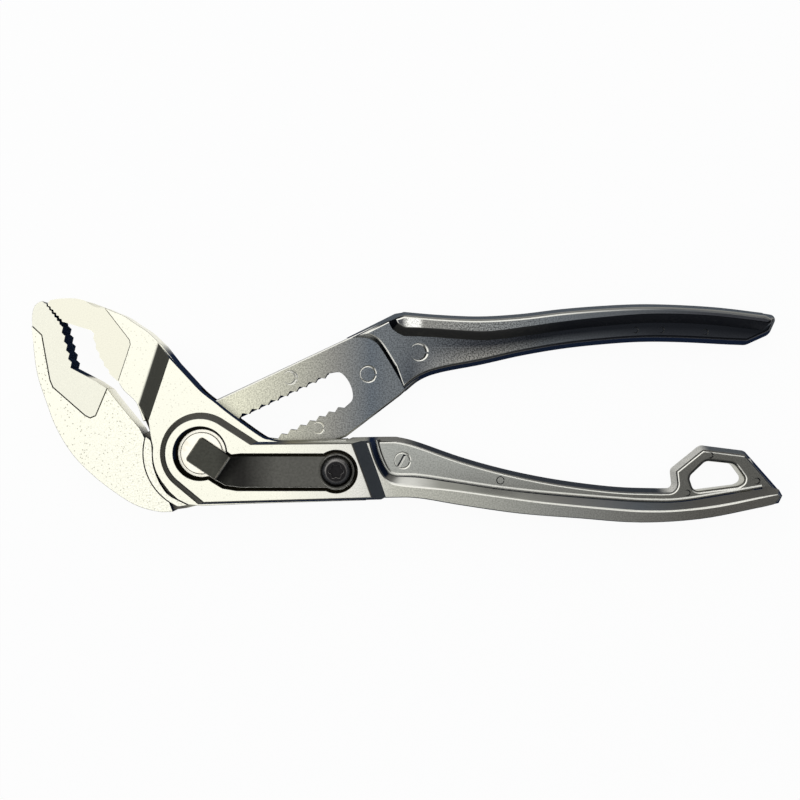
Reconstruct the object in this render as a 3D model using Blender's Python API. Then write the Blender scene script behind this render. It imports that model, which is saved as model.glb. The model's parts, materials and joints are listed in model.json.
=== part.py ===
"""Water pump pliers with a push-through locking pin, as a Blender assembly.

Sizes are millimetres, measured from the pivot axis (x, y) and from the back face that the tool
lies on (z). The meshes are scaled to metres as they are made. +X runs along the handles, +Y
across the tool towards the slotted handle, +Z from the back to the front.
"""
import math

import bmesh
import bpy
from mathutils import Vector

MM = 0.001

# Layers of the joint, from the back to the front
BACK_CHEEK = 4.7
PLATE = 5.0
SIDE_CLEARANCE = 0.3
FRONT_CHEEK = 4.7
PLATEAU_RISE = 2.0
JAW = 11.0
RAIL_DROP = 1.0
WEB = 8.0
DRAFT = 1.5
CHEEK_DRAFT = 0.6

# Fits
SEAT_GAP = 0.3
RUNNING_GAP = 0.3
CHANNEL_GAP = 0.75

# Slot, locking pin and its bushes
SLOT_ANGLE = 25.1
SLOT_PITCH = 3.5
SLOT_TEETH = 14
SLOT_VALLEY = 6.4
SLOT_TOOTH = 1.1
SLOT_LEFT = 7.0
SLOT_END = [(0.6, -0.75), (0.8, 0.0), (0.6, 0.75)]
PLATE_ABOVE = 14.2
PLATE_BELOW = 15.4
OPEN_ANGLE = 24.0
SWING_MARGIN = 1.0
PIN_SPLINES = 9
PIN_SPLINE_DEPTH = 0.9
PIN_TRAVEL = 2.8
PIN_HEAD_RADIUS = 7.0
PIN_HEAD = 1.0
PIN_SHANK_RADIUS = 3.9
PIN_INSET = 0.8
PIN_CHAMFER = 0.5
BUSH_WALL = 1.3
BUSH_FLANGE = 0.8
BUSH_RING = 1.1
BUSH_CHAMFER = 0.3
COUNTERBORE_FLOOR = 1.4
COUNTERBORE_GAP = 0.8
THUMB_DISH_RADIUS = 9.5
THUMB_DISH = 1.4

# Leaf spring and its screw
SCREW_PLACE = (44.7, -5.9)
SCREW_RADIUS = 3.0
SCREW_HEAD_RADIUS = 5.25
SCREW_HEAD = 3.0
SCREW_LENGTH = 9.0
SCREW_CHAMFER = 0.5
SCREW_DOME = [(1.0, 0.25), (0.9, 0.65), (0.72, 0.9), (0.55, 1.0)]
SCREW_SOCKET = 2.4
SCREW_SOCKET_DEPTH = 1.6
SOCKET_LOBES = 6
SOCKET_RIPPLE = 0.13
INSERT_WALL = 1.3
LEAF = 0.8
LEAF_WIDTH = 10.6
LEAF_DROP = 0.2
LEAF_END_RADIUS = 6.3
LEAF_TIP_ANGLE = 146.0
LEAF_TIP_REACH = 3.2
LEAF_TIP_WIDTH = 9.4
LEAF_TIP_ROUND = 1.2
LEAF_CREASE = 8.7
LEAF_RAMP = 7.0
LEAF_RISE = 1.6
LEAF_UPPER_BEND = 3.0
LEAF_LOWER_BEND = (3.3, -2.0)
LEAF_LOWER_REACH = 8.2

# Jaw inserts
FINE_TEETH = 6
FINE_TOOTH = 0.45
COARSE_TEETH = 5
COARSE_TOOTH = 0.85
UPPER_TOOTH = 0.6
COARSE_LEAN = 0.56
KEY_NECK = 2.6
KEY_FOOT = 3.6
KEY_DEPTH = 3.0
KEY_ROOT = 1.0
KEY_HEIGHT = 5.0

# Worked out from the sizes above
PLATE_BACK = BACK_CHEEK + SIDE_CLEARANCE
PLATE_FRONT = PLATE_BACK + PLATE
CHEEK_BACK = PLATE_FRONT + SIDE_CLEARANCE
CHEEK_FRONT = CHEEK_BACK + FRONT_CHEEK
PLATEAU = CHEEK_FRONT + PLATEAU_RISE
MIDDLE = (PLATE_BACK + PLATE_FRONT) / 2
RAIL = CHEEK_FRONT - RAIL_DROP
JAW_BACK = MIDDLE - JAW / 2
JAW_FRONT = MIDDLE + JAW / 2
WEB_BACK = MIDDLE - WEB / 2
WEB_FRONT = MIDDLE + WEB / 2
SLOT_TIP = SLOT_VALLEY - SLOT_TOOTH
SLOT_RIGHT = SLOT_PITCH * SLOT_TEETH
PIN_RADIUS = SLOT_TIP - RUNNING_GAP
COUNTERBORE = CHEEK_BACK + COUNTERBORE_FLOOR
BUSH_BORE = PIN_RADIUS + RUNNING_GAP
BUSH_BARREL = BUSH_BORE + BUSH_WALL
BUSH_RADIUS = PIN_HEAD_RADIUS + BUSH_RING
BUSH_FRONT = COUNTERBORE + SEAT_GAP + BUSH_FLANGE
COUNTERBORE_RADIUS = BUSH_RADIUS + COUNTERBORE_GAP
HEAD_BACK = BUSH_FRONT + SEAT_GAP
HEAD_FRONT = HEAD_BACK + PIN_HEAD
TIP_BACK = HEAD_FRONT + SEAT_GAP
LEAF_BACK = TIP_BACK - LEAF_RISE
CHANNEL = LEAF_BACK - SEAT_GAP
SCREW_SEAT = LEAF_BACK + LEAF + SEAT_GAP
REAR_BUSH_BORE = PIN_SHANK_RADIUS + RUNNING_GAP
REAR_BUSH_RADIUS = REAR_BUSH_BORE + BUSH_WALL
INSERT_BORE = SCREW_RADIUS + SEAT_GAP
INSERT_RADIUS = INSERT_BORE + INSERT_WALL
INSERT_BACK = SCREW_SEAT - SCREW_LENGTH - SEAT_GAP
OVER = PLATEAU + PLATE
UNDER = -SIDE_CLEARANCE

# Handles: how far the drawn ones reach from the pivot axis, and the stretch that makes them longer
HANDLE_REACH = 193.7
DRAWN_REACH = 193.7
GRIP_START = 70.0
GRIP_LENGTH = 80.0


def reach(points):
    """Points of a handle, with the grip drawn out until the handle's end is at its reach."""
    longer = HANDLE_REACH - DRAWN_REACH
    shares = [min(max((point[0] - GRIP_START) / GRIP_LENGTH, 0), 1) for point in points]
    return [(point[0] + longer * share, *point[1:]) for point, share in zip(points, shares)]


# Lower handle: lines along it, from the joint to the end
LOWER_BOTTOM = reach([
    (40, -15.8), (62, -15.2), (72, -15.4), (86, -17.7), (105.6, -20.5), (125.5, -22.1),
    (145.5, -23.5), (165.4, -22.3), (183.7, -18.8), (189.5, -17.5),
])
LOWER_TOP = reach([
    (40, 4.9), (61, 5.3), (66, 5.0), (72.4, 3.3), (85.8, -1.4), (99.3, -5.2), (112.7, -8.1),
    (126.1, -10.2), (139.5, -11.6), (152.5, -12.0),
])
LOWER_RIDGE = reach([
    (62, -9.2), (66, -10.6), (82, -12.1), (99, -14.4), (115, -16.5), (138.4, -18.7),
    (148.4, -19.2), (158.3, -18.9), (171.5, -17.4), (187.4, -14.1),
])
LOWER_FOOT = reach([
    (64, -7.4), (72.4, -7.8), (85.7, -9.8), (99, -11.8), (115.6, -13.6), (138.9, -15.5),
    (148.9, -16.0), (158.8, -15.8), (172.1, -13.8), (189, -10.9),
])
PANEL_WALL = [(57.7, 4.2), (59.1, -0.7), (61.3, -5.4)]
PANEL_WALL_SLOPE = 2.3
RAIL_END = reach([(191.8, -14.9), (190.6, -11.6)])
RAIL_FACE_END = reach([(189.6, -14.6), (188.6, -13.6)])
RAIL_START = (40, 4.4)

# Lower handle: corners of the end loop and its hole, with their radii
LOOP = reach([
    (192.4, -17.0, 1.8), (193.7, -13.6, 2.4), (190.3, -9.7, 2.0), (181.2, 0.6, 2.6),
    (166.2, 2.5, 2.6), (156.2, -5.6, 2.0), (156.9, -11.9, 1.6),
])
LOOP_HOLE = reach([
    (162.0, -8.0, 2.2), (167.6, -2.7, 2.6), (177.0, -3.7, 3.0), (181.2, -9.4, 1.8),
    (178.2, -10.9, 1.6), (163.6, -12.8, 2.2),
])

# Slotted handle: lines along it, from the step at the plate to the end
UPPER_BOTTOM = reach([
    (67.4, 20.4), (72.4, 24.3), (79.1, 26.8), (92.6, 29.4), (106.0, 32.4), (119.4, 34.7),
    (132.8, 36.2), (146.3, 37.1), (159.7, 37.0), (176.0, 36.2),
])
UPPER_TOP = reach([
    (67.0, 47.2), (79.1, 46.2), (92.6, 45.7), (106.0, 46.5), (119.4, 48.1), (132.8, 49.2),
    (146.3, 49.8), (159.7, 49.5), (173.2, 48.6), (187.3, 46.9),
])
UPPER_END = reach([
    (181.6, 36.0, 4.0), (189.6, 39.6, 4.0), (192.4, 45.9, 1.8),
])
UPPER_SHOULDER = (64.0, 46.6, 3.0)
UPPER_STEP = [(47.6, 38.4), (53.2, 38.4), (56.5, 37.6), (58.9, 35.4), (62.7, 29.4), (66.5, 22.8)]
RIM_FOOT = reach([
    (67.0, 38.9), (75.7, 38.6), (85.7, 37.9), (95.6, 37.6), (108.9, 39.2), (118.9, 40.6),
    (132.2, 42.1), (148.9, 43.3), (165.5, 42.9), (178.8, 41.6), (187.5, 40.5),
])
RIM_NOSE = [(61.6, 44.6), (62.9, 41.6), (65.0, 39.8)]
RIM_TAIL = reach([(190.0, 42.4), (190.6, 45.0)])
RIM_SHOULDER = (63.4, 46.0)
RIM_SLOPE = 2.6

# Body: the cheek's corners, its plateau and the jaw that it carries
CHEEK_ARC_RADIUS = 15.9
CHEEK_FLARE = 12.0
CHEEK_BLEND = 15.0
CHEEK_TOP = [(48.0, 4.4), (32.8, 4.0), (26.1, 3.9), (22.8, 4.5), (19.5, 5.7), (9.7, 12.7),
             (4.7, 16.7), (-0.2, 20.6), (-5.2, 25.9)]
CHEEK_BOTTOM = [(-10.3, -12.7), (-7.5, -15.2), (-4.0, -16.9), (0.5, -17.3), (15.9, -16.6), (53.5, -15.5)]
RAMP_TOP = [(-10.3, 31.4), (-17.2, 10.7), (-16.5, 6.0)]
RAMP_FOOT = [(-15.0, 37.2), (-21.4, 17.0), (-16.5, 6.0)]
PLATEAU_RADIUS = 13.5
PLATEAU_BEVEL = 1.9
PLATEAU_UPPER = (19.0, 3.8)
PLATEAU_LOWER = (-0.9, -16.8)
PLATEAU_LIP = 0.7
PLATEAU_RIGHT = [(59.2, -15.2), (52.6, 4.1)]
PLATEAU_RIGHT_SLOPE = 3.4
UPPER_SEAT = [(-32.4, 48.1), (-24.2, 37.5), (-23.9, 36.1), (-27.9, 24.0)]
UPPER_THROAT = [(-27.9, 24.0), (-25.7, 20.7), (-22.1, 17.3), (-20.7, 14.4), (-19.4, 10.6)]
UPPER_ROOT = [(-12.0, 14.0), (-4.0, 24.0)]
UPPER_BACK = [(-13.0, 35.6), (-17.8, 40.1), (-22.1, 43.0), (-26.2, 45.7), (-32.4, 48.1)]
UPPER_TIP = [(-32.4, 48.1), (-35.3, 49.2), (-39.6, 50.7), (-42.7, 51.2), (-47.0, 51.1), (-50.2, 50.6)]
UPPER_GRIP_TIP = (-50.9, 49.7)
UPPER_GRIP_HEEL = (-45.4, 43.5)
UPPER_CORNER = (-36.6, 40.8)
UPPER_PIPE = [(-35.5, 39.7), (-34.9, 36.2), (-33.8, 33.2), (-32.4, 30.4), (-30.8, 27.8), (-28.9, 25.3)]

# Slotted handle's jaw
LOWER_SEAT = [(-31.5, 21.5), (-35.3, 12.5), (-37.0, 11.8), (-38.7, 12.7), (-49.2, 21.9), (-50.2, 24.3),
              (-52.3, 35.8), (-52.9, 39.2), (-56.2, 42.3)]
LOWER_BACK = [(-56.2, 42.3), (-55.5, 32.6), (-54.2, 25.0), (-51.5, 16.9), (-48.2, 8.3), (-42.6, -0.7),
              (-35.2, -8.1), (-26.9, -14.3), (-20.8, -17.7), (-14.2, -19.4), (-9.6, -19.4)]
LOWER_THROAT = [(-20.6, 8.2), (-26.2, 14.9), (-31.5, 21.5)]
LOWER_TIP = [(-52.9, 50.4), (-54.2, 49.9), (-55.5, 48.6), (-56.2, 45.9), (-56.2, 42.3)]
LOWER_FLANK = [(-31.5, 21.5), (-35.1, 23.9), (-43.5, 28.3)]
LOWER_GRIP_HEEL = (-47.1, 42.8)
LOWER_GRIP_TIP = (-52.2, 49.8)
JAW_STEP_RADIUS = 19.6
JAW_STEP_BLEND = 7.0
PLATE_LEFT = 23.0
PLATE_RIGHT = 76.0
PLATE_TAIL = 8.0
PLATE_NOSE = 7.0
PLATE_SHOULDER = [(67.7, -10.6), (50.1, -14.4), (45.4, -15.4)]

ARC_STEP = 9.0
CURVE_STEPS = 3
BACK_STEPS = 2
ROUND = 48
RAMP_STEPS = 6
FAR = 90.0


def clear_scene():
    """Remove what the file holds already."""
    for item in list(bpy.data.objects):
        bpy.data.objects.remove(item, do_unlink=True)


def smooth(points, steps=CURVE_STEPS):
    """A curve through the points, ends included."""
    ring = [Vector(p) for p in points]
    ring = [2 * ring[0] - ring[1], *ring, 2 * ring[-1] - ring[-2]]
    out = []
    for before, start, end, after in zip(ring, ring[1:], ring[2:], ring[3:]):
        for k in range(steps):
            t = k / steps
            bend = (end - before) * t + (2 * before - 5 * start + 4 * end - after) * t**2
            out.append(start + 0.5 * (bend + (3 * start - before - 3 * end + after) * t**3))
    return [tuple(p) for p in out] + [tuple(points[-1])]


def bearing(point):
    """Direction of a point from the pivot axis, in degrees from 0 to 360."""
    return math.degrees(math.atan2(point[1], point[0])) % 360


def arc(centre, radius, start, end):
    """Points on an arc, in degrees, ends included."""
    count = max(2, math.ceil(abs(end - start) / ARC_STEP))
    angles = [math.radians(start + (end - start) * k / count) for k in range(count + 1)]
    return [(centre[0] + radius * math.cos(a), centre[1] + radius * math.sin(a)) for a in angles]


def circle(centre, radius, count=ROUND):
    """Points round a circle."""
    turns = [2 * math.pi * k / count for k in range(count)]
    return [(centre[0] + radius * math.cos(a), centre[1] + radius * math.sin(a)) for a in turns]


def fillet(before, corner, after):
    """The points that round one corner off, given as x, y and radius."""
    here = Vector(corner[:2])
    back = (Vector(before[:2]) - here).normalized()
    ahead = (Vector(after[:2]) - here).normalized()
    half = back.angle(ahead) / 2
    reach = corner[2] / math.tan(half)
    centre = here + (back + ahead).normalized() * (corner[2] / math.sin(half))
    first = here + back * reach - centre
    turn = math.degrees((here + ahead * reach - centre).angle_signed(first))
    start = math.degrees(math.atan2(first.y, first.x))
    return arc(centre, corner[2], start, start + turn)


def rounded(corners, before, after):
    """The fillets of a chain of corners between two points."""
    chain = [before, *corners, after]
    points = []
    for k in range(1, len(chain) - 1):
        points += fillet(*chain[k - 1:k + 2])
    return points


def rounded_ring(corners):
    """A closed outline with every corner rounded."""
    return rounded(corners, corners[-1], corners[0])


def offset(outline, distances):
    """A closed outline, counter-clockwise, with each edge moved outwards by its distance."""
    if isinstance(distances, (int, float)):
        distances = [distances] * len(outline)
    count = len(outline)
    normals = []
    for k in range(count):
        edge = Vector(outline[(k + 1) % count]) - Vector(outline[k])
        normals.append(Vector((edge.y, -edge.x)).normalized())
    moved = []
    for k in range(count):
        a, b = normals[k - 1], normals[k]
        da, db = distances[k - 1], distances[k]
        cross = a.x * b.y - a.y * b.x
        point = Vector(outline[k])
        if abs(cross) < 0.02:
            shift = (a * da + b * db) / 2
        else:
            shift = Vector((da * b.y - db * a.y, db * a.x - da * b.x)) / cross
        moved.append(tuple(point + shift))
    return moved


def offset_line(points, distance):
    """An open line moved to its left by a distance."""
    moved = []
    for k, point in enumerate(points):
        before = Vector(points[max(k - 1, 0)])
        after = Vector(points[min(k + 1, len(points) - 1)])
        here = Vector(point)
        sides = [(b - a).normalized() for a, b in ((before, here), (here, after)) if (b - a).length]
        lefts = [Vector((-s.y, s.x)) for s in sides]
        shift = sum(lefts, Vector((0, 0)))
        shift = shift * (distance * len(lefts) / shift.length_squared)
        moved.append(tuple(here + shift))
    return moved


def along_slot(points, angle=SLOT_ANGLE):
    """Points given along and across the slot, as x and y."""
    c, s = math.cos(math.radians(angle)), math.sin(math.radians(angle))
    return [(u * c - v * s, u * s + v * c) for u, v in points]


def divide(start, end, count):
    """Points that part a straight line into equal lengths, ends included."""
    return [tuple(Vector(start).lerp(Vector(end), k / count)) for k in range(count + 1)]


def teeth(valleys, height, lean=0.5):
    """A row of teeth between valleys, tips to the right of that way, without the last valley."""
    points = []
    for start, end in zip(valleys, valleys[1:]):
        step = Vector(end) - Vector(start)
        right = Vector((step.y, -step.x)).normalized()
        points += [start, tuple(Vector(start) + step * lean + right * height)]
    return points


def make(name, vertices, faces):
    """A mesh object from vertices in millimetres."""
    mesh = bpy.data.meshes.new(name)
    mesh.from_pydata([(x * MM, y * MM, z * MM) for x, y, z in vertices], [], faces)
    work = bmesh.new()
    work.from_mesh(mesh)
    bmesh.ops.remove_doubles(work, verts=work.verts, dist=1e-7)
    bmesh.ops.recalc_face_normals(work, faces=work.faces)
    work.to_mesh(mesh)
    work.free()
    item = bpy.data.objects.new(name, mesh)
    bpy.context.scene.collection.objects.link(item)
    return item


def loft(name, levels):
    """A closed solid through outlines of equal length, given as (z, outline)."""
    count = len(levels[0][1])
    vertices = [(x, y, z) for z, outline in levels for x, y in outline]
    faces = [list(range(count))[::-1]]
    for level in range(len(levels) - 1):
        low, high = level * count, (level + 1) * count
        for k in range(count):
            n = (k + 1) % count
            faces.append([low + k, low + n, high + n, high + k])
    faces.append([(len(levels) - 1) * count + k for k in range(count)])
    return make(name, vertices, faces)


def prism(name, outline, back, front):
    """A closed solid of one outline between two heights."""
    return loft(name, [(back, outline), (front, outline)])


def lathe(name, profile, centre=(0, 0), count=ROUND):
    """A closed solid turned about Z from (radius, z) points, as a ring or down to the axis."""
    vertices, faces, rings = [], [], []
    for radius, z in profile:
        start = len(vertices)
        if radius:
            vertices += [(x, y, z) for x, y in circle(centre, radius, count)]
            rings.append([start + k for k in range(count)])
        else:
            vertices.append((*centre, z))
            rings.append([start] * count)
    closed = rings if profile[0][0] == 0 else [*rings, rings[0]]
    for low, high in zip(closed, closed[1:]):
        for k in range(count):
            n = (k + 1) % count
            corners = [low[k], low[n], high[n], high[k]]
            faces.append(list(dict.fromkeys(corners)))
    return make(name, vertices, [f for f in faces if len(f) > 2])


def bore(name, radius, back, front, centre=(0, 0)):
    """A round plug to cut a bore with."""
    return lathe(name, [(0, back), (radius, back), (radius, front), (0, front)], centre)


def combine(target, tools, operation):
    """Join solids to the target, or cut them from it, and remove them."""
    for tool in tools:
        step = target.modifiers.new("step", "BOOLEAN")
        step.operation = operation
        step.solver = "EXACT"
        step.object = tool
        ready = target.evaluated_get(bpy.context.evaluated_depsgraph_get())
        mesh = bpy.data.meshes.new_from_object(ready)
        target.modifiers.clear()
        target.data = mesh
        bpy.data.objects.remove(tool, do_unlink=True)
    return target


def join(target, *tools):
    """Fuse solids into the target."""
    return combine(target, tools, "UNION")


def cut(target, *tools):
    """Cut solids out of the target."""
    return combine(target, tools, "DIFFERENCE")


def tidy(item):
    """Merge the boolean seams that carry no shape."""
    work = bmesh.new()
    work.from_mesh(item.data)
    bmesh.ops.remove_doubles(work, verts=work.verts, dist=2e-6)
    bmesh.ops.dissolve_degenerate(work, edges=work.edges, dist=2e-6)
    bmesh.ops.dissolve_limit(
        work, angle_limit=math.radians(0.2), verts=work.verts, edges=work.edges
    )
    bmesh.ops.triangulate(work, faces=[f for f in work.faces if len(f.verts) > 4])
    bmesh.ops.recalc_face_normals(work, faces=work.faces)
    work.to_mesh(item.data)
    work.free()
    return item


def finish(item, colour, roughness, metallic, parent):
    """Name the node's mesh, give it its material and hang it on its joint axis."""
    tidy(item)
    item.data.name = item.name
    material = bpy.data.materials.new(item.name)
    material.use_nodes = True
    shader = material.node_tree.nodes["Principled BSDF"]
    shader.inputs["Base Color"].default_value = (*colour, 1)
    shader.inputs["Roughness"].default_value = roughness
    shader.inputs["Metallic"].default_value = metallic
    item.data.materials.clear()
    item.data.materials.append(material)
    item.parent = parent
    return item


def seat_key(edge, gap):
    """A dovetail standing on one edge of a seat line, towards the casting on its left."""
    start, end = Vector(edge[0]), Vector(edge[1])
    ahead = (end - start).normalized()
    left = Vector((-ahead.y, ahead.x))
    middle = (start + end) / 2
    half_key = [(KEY_NECK, -KEY_ROOT), (KEY_NECK, 0), (KEY_FOOT, KEY_DEPTH)]
    corners = offset([*half_key, *[(-a, b) for a, b in half_key[::-1]]], gap)
    outline = [tuple(middle + ahead * a + left * b) for a, b in corners]
    half = KEY_HEIGHT / 2 + gap
    return prism("key", outline, MIDDLE - half, MIDDLE + half)


def lower_web_outline():
    """Outside of the lower handle at its parting plane, with the loop at its end."""
    bottom = smooth(LOWER_BOTTOM)
    top = smooth(LOWER_TOP)[::-1]
    return bottom + rounded(LOOP, bottom[-1], top[0]) + top


def lower_handle():
    """The web and rail of the lower handle."""
    outside = lower_web_outline()
    face = offset(outside, -DRAFT)
    web = loft("web", [(WEB_BACK, face), (MIDDLE, outside), (WEB_FRONT, face)])
    cut(web, prism("hole", rounded_ring(LOOP_HOLE)[::-1], UNDER, OVER))
    bottom = smooth(LOWER_BOTTOM)
    ridge = [*offset_line(PANEL_WALL, -PANEL_WALL_SLOPE), *smooth(LOWER_RIDGE)]
    foot = [*PANEL_WALL, *smooth(LOWER_FOOT)]
    low = [*bottom, *RAIL_END, *foot[::-1], RAIL_START]
    distances = [-DRAFT] * (len(bottom) + 2) + [0.0] * (len(low) - len(bottom) - 2)
    high_low = offset(low, distances)
    high = [*high_low[:len(bottom)], *RAIL_FACE_END, *ridge[::-1], RAIL_START]
    slope = (WEB_FRONT - MIDDLE) / (RAIL - MIDDLE)
    between = [tuple(Vector(a).lerp(Vector(b), slope)) for a, b in zip(low, high_low)]
    rail = loft("rail", [(0, high), (WEB_BACK, between), (MIDDLE, low), (WEB_FRONT, between), (RAIL, high)])
    return join(web, rail)


def cheek_outline(ramp):
    """Outside of the body's cheeks, with the given edge towards the jaw."""
    first, last = bearing(ramp[-1]), bearing(CHEEK_BOTTOM[0])
    left = arc((0, 0), CHEEK_ARC_RADIUS, first + CHEEK_FLARE, last - CHEEK_BLEND)
    return [*left, *CHEEK_BOTTOM, *smooth(CHEEK_TOP), *ramp]


def plateau_outline(radius, lip, right):
    """Outside of the raised plateau: round about the pin, then the width of the handle."""
    points = []
    for place, side in ((PLATEAU_UPPER, 1), (PLATEAU_LOWER, -1)):
        far = math.degrees(math.atan2(place[1], place[0]))
        lean = math.degrees(math.acos(PLATEAU_RADIUS / math.hypot(*place)))
        points.append(far + side * lean)
    start, end = points[0], points[1] + 360
    upper = arc((0, 0), radius, start, start)[0]
    lower = arc((0, 0), radius, end, end)[0]
    left = arc((0, 0), radius, start, end)
    upper_foot = arc((0, 0), PLATEAU_RADIUS, start, start)[0]
    lower_foot = arc((0, 0), PLATEAU_RADIUS, end, end)[0]
    top_y, bottom_y = PLATEAU_UPPER[1] - lip, PLATEAU_LOWER[1] + lip
    upper_end = meet(upper, Vector(PLATEAU_UPPER) - Vector(upper_foot), top_y)
    lower_end = meet(lower, Vector(PLATEAU_LOWER) - Vector(lower_foot), bottom_y)
    corners = [(right[0][0], right[0][1] + lip), (right[1][0], right[1][1] - lip)]
    return [upper_end, *left, lower_end, *corners]


def meet(start, direction, height):
    """Where a line from start reaches a height."""
    return (start[0] + direction[0] * (height - start[1]) / direction[1], height)


def passage_outline():
    """The gap between the cheeks that the slotted plate turns and slides through."""
    above, below = PLATE_ABOVE + SIDE_CLEARANCE, PLATE_BELOW + SIDE_CLEARANCE
    closed, opened = SLOT_ANGLE - SWING_MARGIN, SLOT_ANGLE + OPEN_ANGLE + SWING_MARGIN
    half = math.radians(opened - closed) / 2
    corners = [(0, above / math.cos(half)), (0, -below / math.cos(half))]
    upper, lower = along_slot(corners, (opened + closed) / 2)
    return [
        *along_slot([(FAR, above)], opened), upper, *along_slot([(-FAR, above)], closed),
        *along_slot([(-FAR, -below)], opened), lower, *along_slot([(FAR, -below)], closed),
    ]


def channel_outline(gap):
    """Outside of the leaf spring in plan, grown by a gap: the tip, then the strip and its round end."""
    ahead = Vector((math.cos(math.radians(LEAF_TIP_ANGLE)), math.sin(math.radians(LEAF_TIP_ANGLE))))
    across = Vector((-ahead.y, ahead.x))
    half = LEAF_TIP_WIDTH / 2 + gap
    tip = ahead * (LEAF_TIP_REACH + gap)
    crease = -ahead * LEAF_CREASE
    upper, lower = tuple(crease - across * half), tuple(crease + across * half)
    corners = [(*(tip + across * side), LEAF_TIP_ROUND + gap) for side in (-half, half)]
    y = SCREW_PLACE[1]
    strip = LEAF_WIDTH / 2 + gap
    round_end = LEAF_END_RADIUS + gap
    first = math.degrees(math.asin((-LEAF_DROP - strip) / round_end))
    last = math.degrees(math.asin((strip - LEAF_DROP) / round_end))
    end = arc(SCREW_PLACE, round_end, -180 - first, 180 - last)
    bend_upper = (upper[0] + LEAF_UPPER_BEND, y - LEAF_DROP + strip)
    bend = tuple(Vector(lower) + Vector(LEAF_LOWER_BEND))
    bend_lower = (lower[0] + LEAF_LOWER_REACH, y - LEAF_DROP - strip)
    return [lower, bend, bend_lower, *end, bend_upper, upper, *rounded(corners, upper, lower)]


def body_casting(parent):
    """Upper jaw, both cheeks and the lower handle, cast in one piece."""
    high, low = cheek_outline(RAMP_TOP), cheek_outline(RAMP_FOOT)
    wide = offset(low, [CHEEK_DRAFT] * (len(low) - len(RAMP_FOOT)) + [0.0] * len(RAMP_FOOT))
    body = loft("body_casting", [(0, high), (JAW_BACK, low), (MIDDLE, wide), (JAW_FRONT, low),
                                 (CHEEK_FRONT, high)])
    inner_seat = offset_line(UPPER_SEAT, SEAT_GAP)
    jaw = [*UPPER_THROAT[1:], *UPPER_ROOT, *UPPER_BACK[:-1], *inner_seat]
    foot = plateau_outline(PLATEAU_RADIUS, 0, PLATEAU_RIGHT)
    run = PLATEAU_RIGHT_SLOPE * RAIL_DROP / PLATEAU_RISE
    wide_right = [(x + run, y) for x, y in PLATEAU_RIGHT]
    top_right = [(x - PLATEAU_RIGHT_SLOPE, y) for x, y in PLATEAU_RIGHT]
    plateau = loft("plateau", [
        (RAIL, plateau_outline(PLATEAU_RADIUS, 0, wide_right)),
        (CHEEK_FRONT, foot),
        (PLATEAU, plateau_outline(PLATEAU_RADIUS - PLATEAU_BEVEL, PLATEAU_LIP, top_right)),
    ])
    join(body, prism("jaw", jaw, JAW_BACK, JAW_FRONT), plateau, lower_handle())
    cut(
        body,
        prism("passage", passage_outline(), BACK_CHEEK, CHEEK_BACK),
        prism("channel", channel_outline(CHANNEL_GAP), CHANNEL, OVER),
        bore("counterbore", COUNTERBORE_RADIUS, COUNTERBORE, OVER),
        bore("bush bore", BUSH_BARREL + SEAT_GAP, MIDDLE, OVER),
        bore("rear bore", REAR_BUSH_RADIUS + SEAT_GAP, UNDER, MIDDLE),
        bore("insert bore", INSERT_RADIUS + SEAT_GAP, INSERT_BACK - SEAT_GAP, OVER, SCREW_PLACE),
        lathe("thumb dish", [(0, UNDER), (THUMB_DISH_RADIUS - UNDER, UNDER),
                             (THUMB_DISH_RADIUS - THUMB_DISH, THUMB_DISH), (0, THUMB_DISH)]),
        seat_key(UPPER_SEAT[2:4], SEAT_GAP),
    )
    return finish(body, (0.55, 0.55, 0.53), 0.5, 1.0, parent)


def upper_jaw_insert(parent):
    """Toothed steel jaw face keyed into the body."""
    grip = teeth(divide(UPPER_GRIP_TIP, UPPER_GRIP_HEEL, FINE_TEETH), FINE_TOOTH)
    pipe = teeth(UPPER_PIPE, UPPER_TOOTH, 1 - COARSE_LEAN)
    outline = [*UPPER_TIP[1:], *grip, UPPER_GRIP_HEEL, UPPER_CORNER, *pipe, *UPPER_SEAT[::-1]]
    item = prism("upper_jaw_insert", outline[::-1], JAW_BACK, JAW_FRONT)
    return finish(join(item, seat_key(UPPER_SEAT[2:4], 0)), (0.5, 0.49, 0.46), 0.4, 1.0, parent)


def slot_outline():
    """The adjusting slot, with a row of teeth along each side and round ends."""
    left, right = -SLOT_LEFT, SLOT_RIGHT
    valleys = divide((right, SLOT_VALLEY), (SLOT_PITCH, SLOT_VALLEY), SLOT_TEETH - 1)
    upper = teeth(valleys, -SLOT_TOOTH)
    lower = [(u, -v) for u, v in upper][::-1]
    half = SLOT_VALLEY / 2
    far = [(right + u * SLOT_VALLEY, v * SLOT_VALLEY) for u, v in SLOT_END]
    return along_slot([
        *lower, (right, -SLOT_VALLEY), *far, *upper,
        (0, SLOT_VALLEY), (left, half), (left, -half), (0, -SLOT_VALLEY),
    ])


def slotted_handle(parent):
    """Lower jaw, slotted plate and upper handle, cast in one piece."""
    bottom, top = smooth(UPPER_BOTTOM), smooth(UPPER_TOP)[::-1]
    end = rounded(UPPER_END, bottom[-1], top[0])
    shoulder = rounded([UPPER_SHOULDER], top[-1], UPPER_STEP[0])
    outside = [*bottom, *end, *top, *shoulder, *UPPER_STEP]
    drafts = [-DRAFT] * (len(outside) - len(UPPER_STEP)) + [0.0] * len(UPPER_STEP)
    face = offset(outside, drafts)
    item = loft("slotted_handle", [(WEB_BACK, face), (MIDDLE, outside), (WEB_FRONT, face)])
    join(item, upper_rim(), slotted_plate(), lower_jaw_block())
    key = seat_key(LOWER_SEAT[3:5], SEAT_GAP)
    cut(item, prism("slot", slot_outline(), UNDER, OVER), key)
    return finish(item, (0.5, 0.5, 0.49), 0.55, 1.0, parent)


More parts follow.
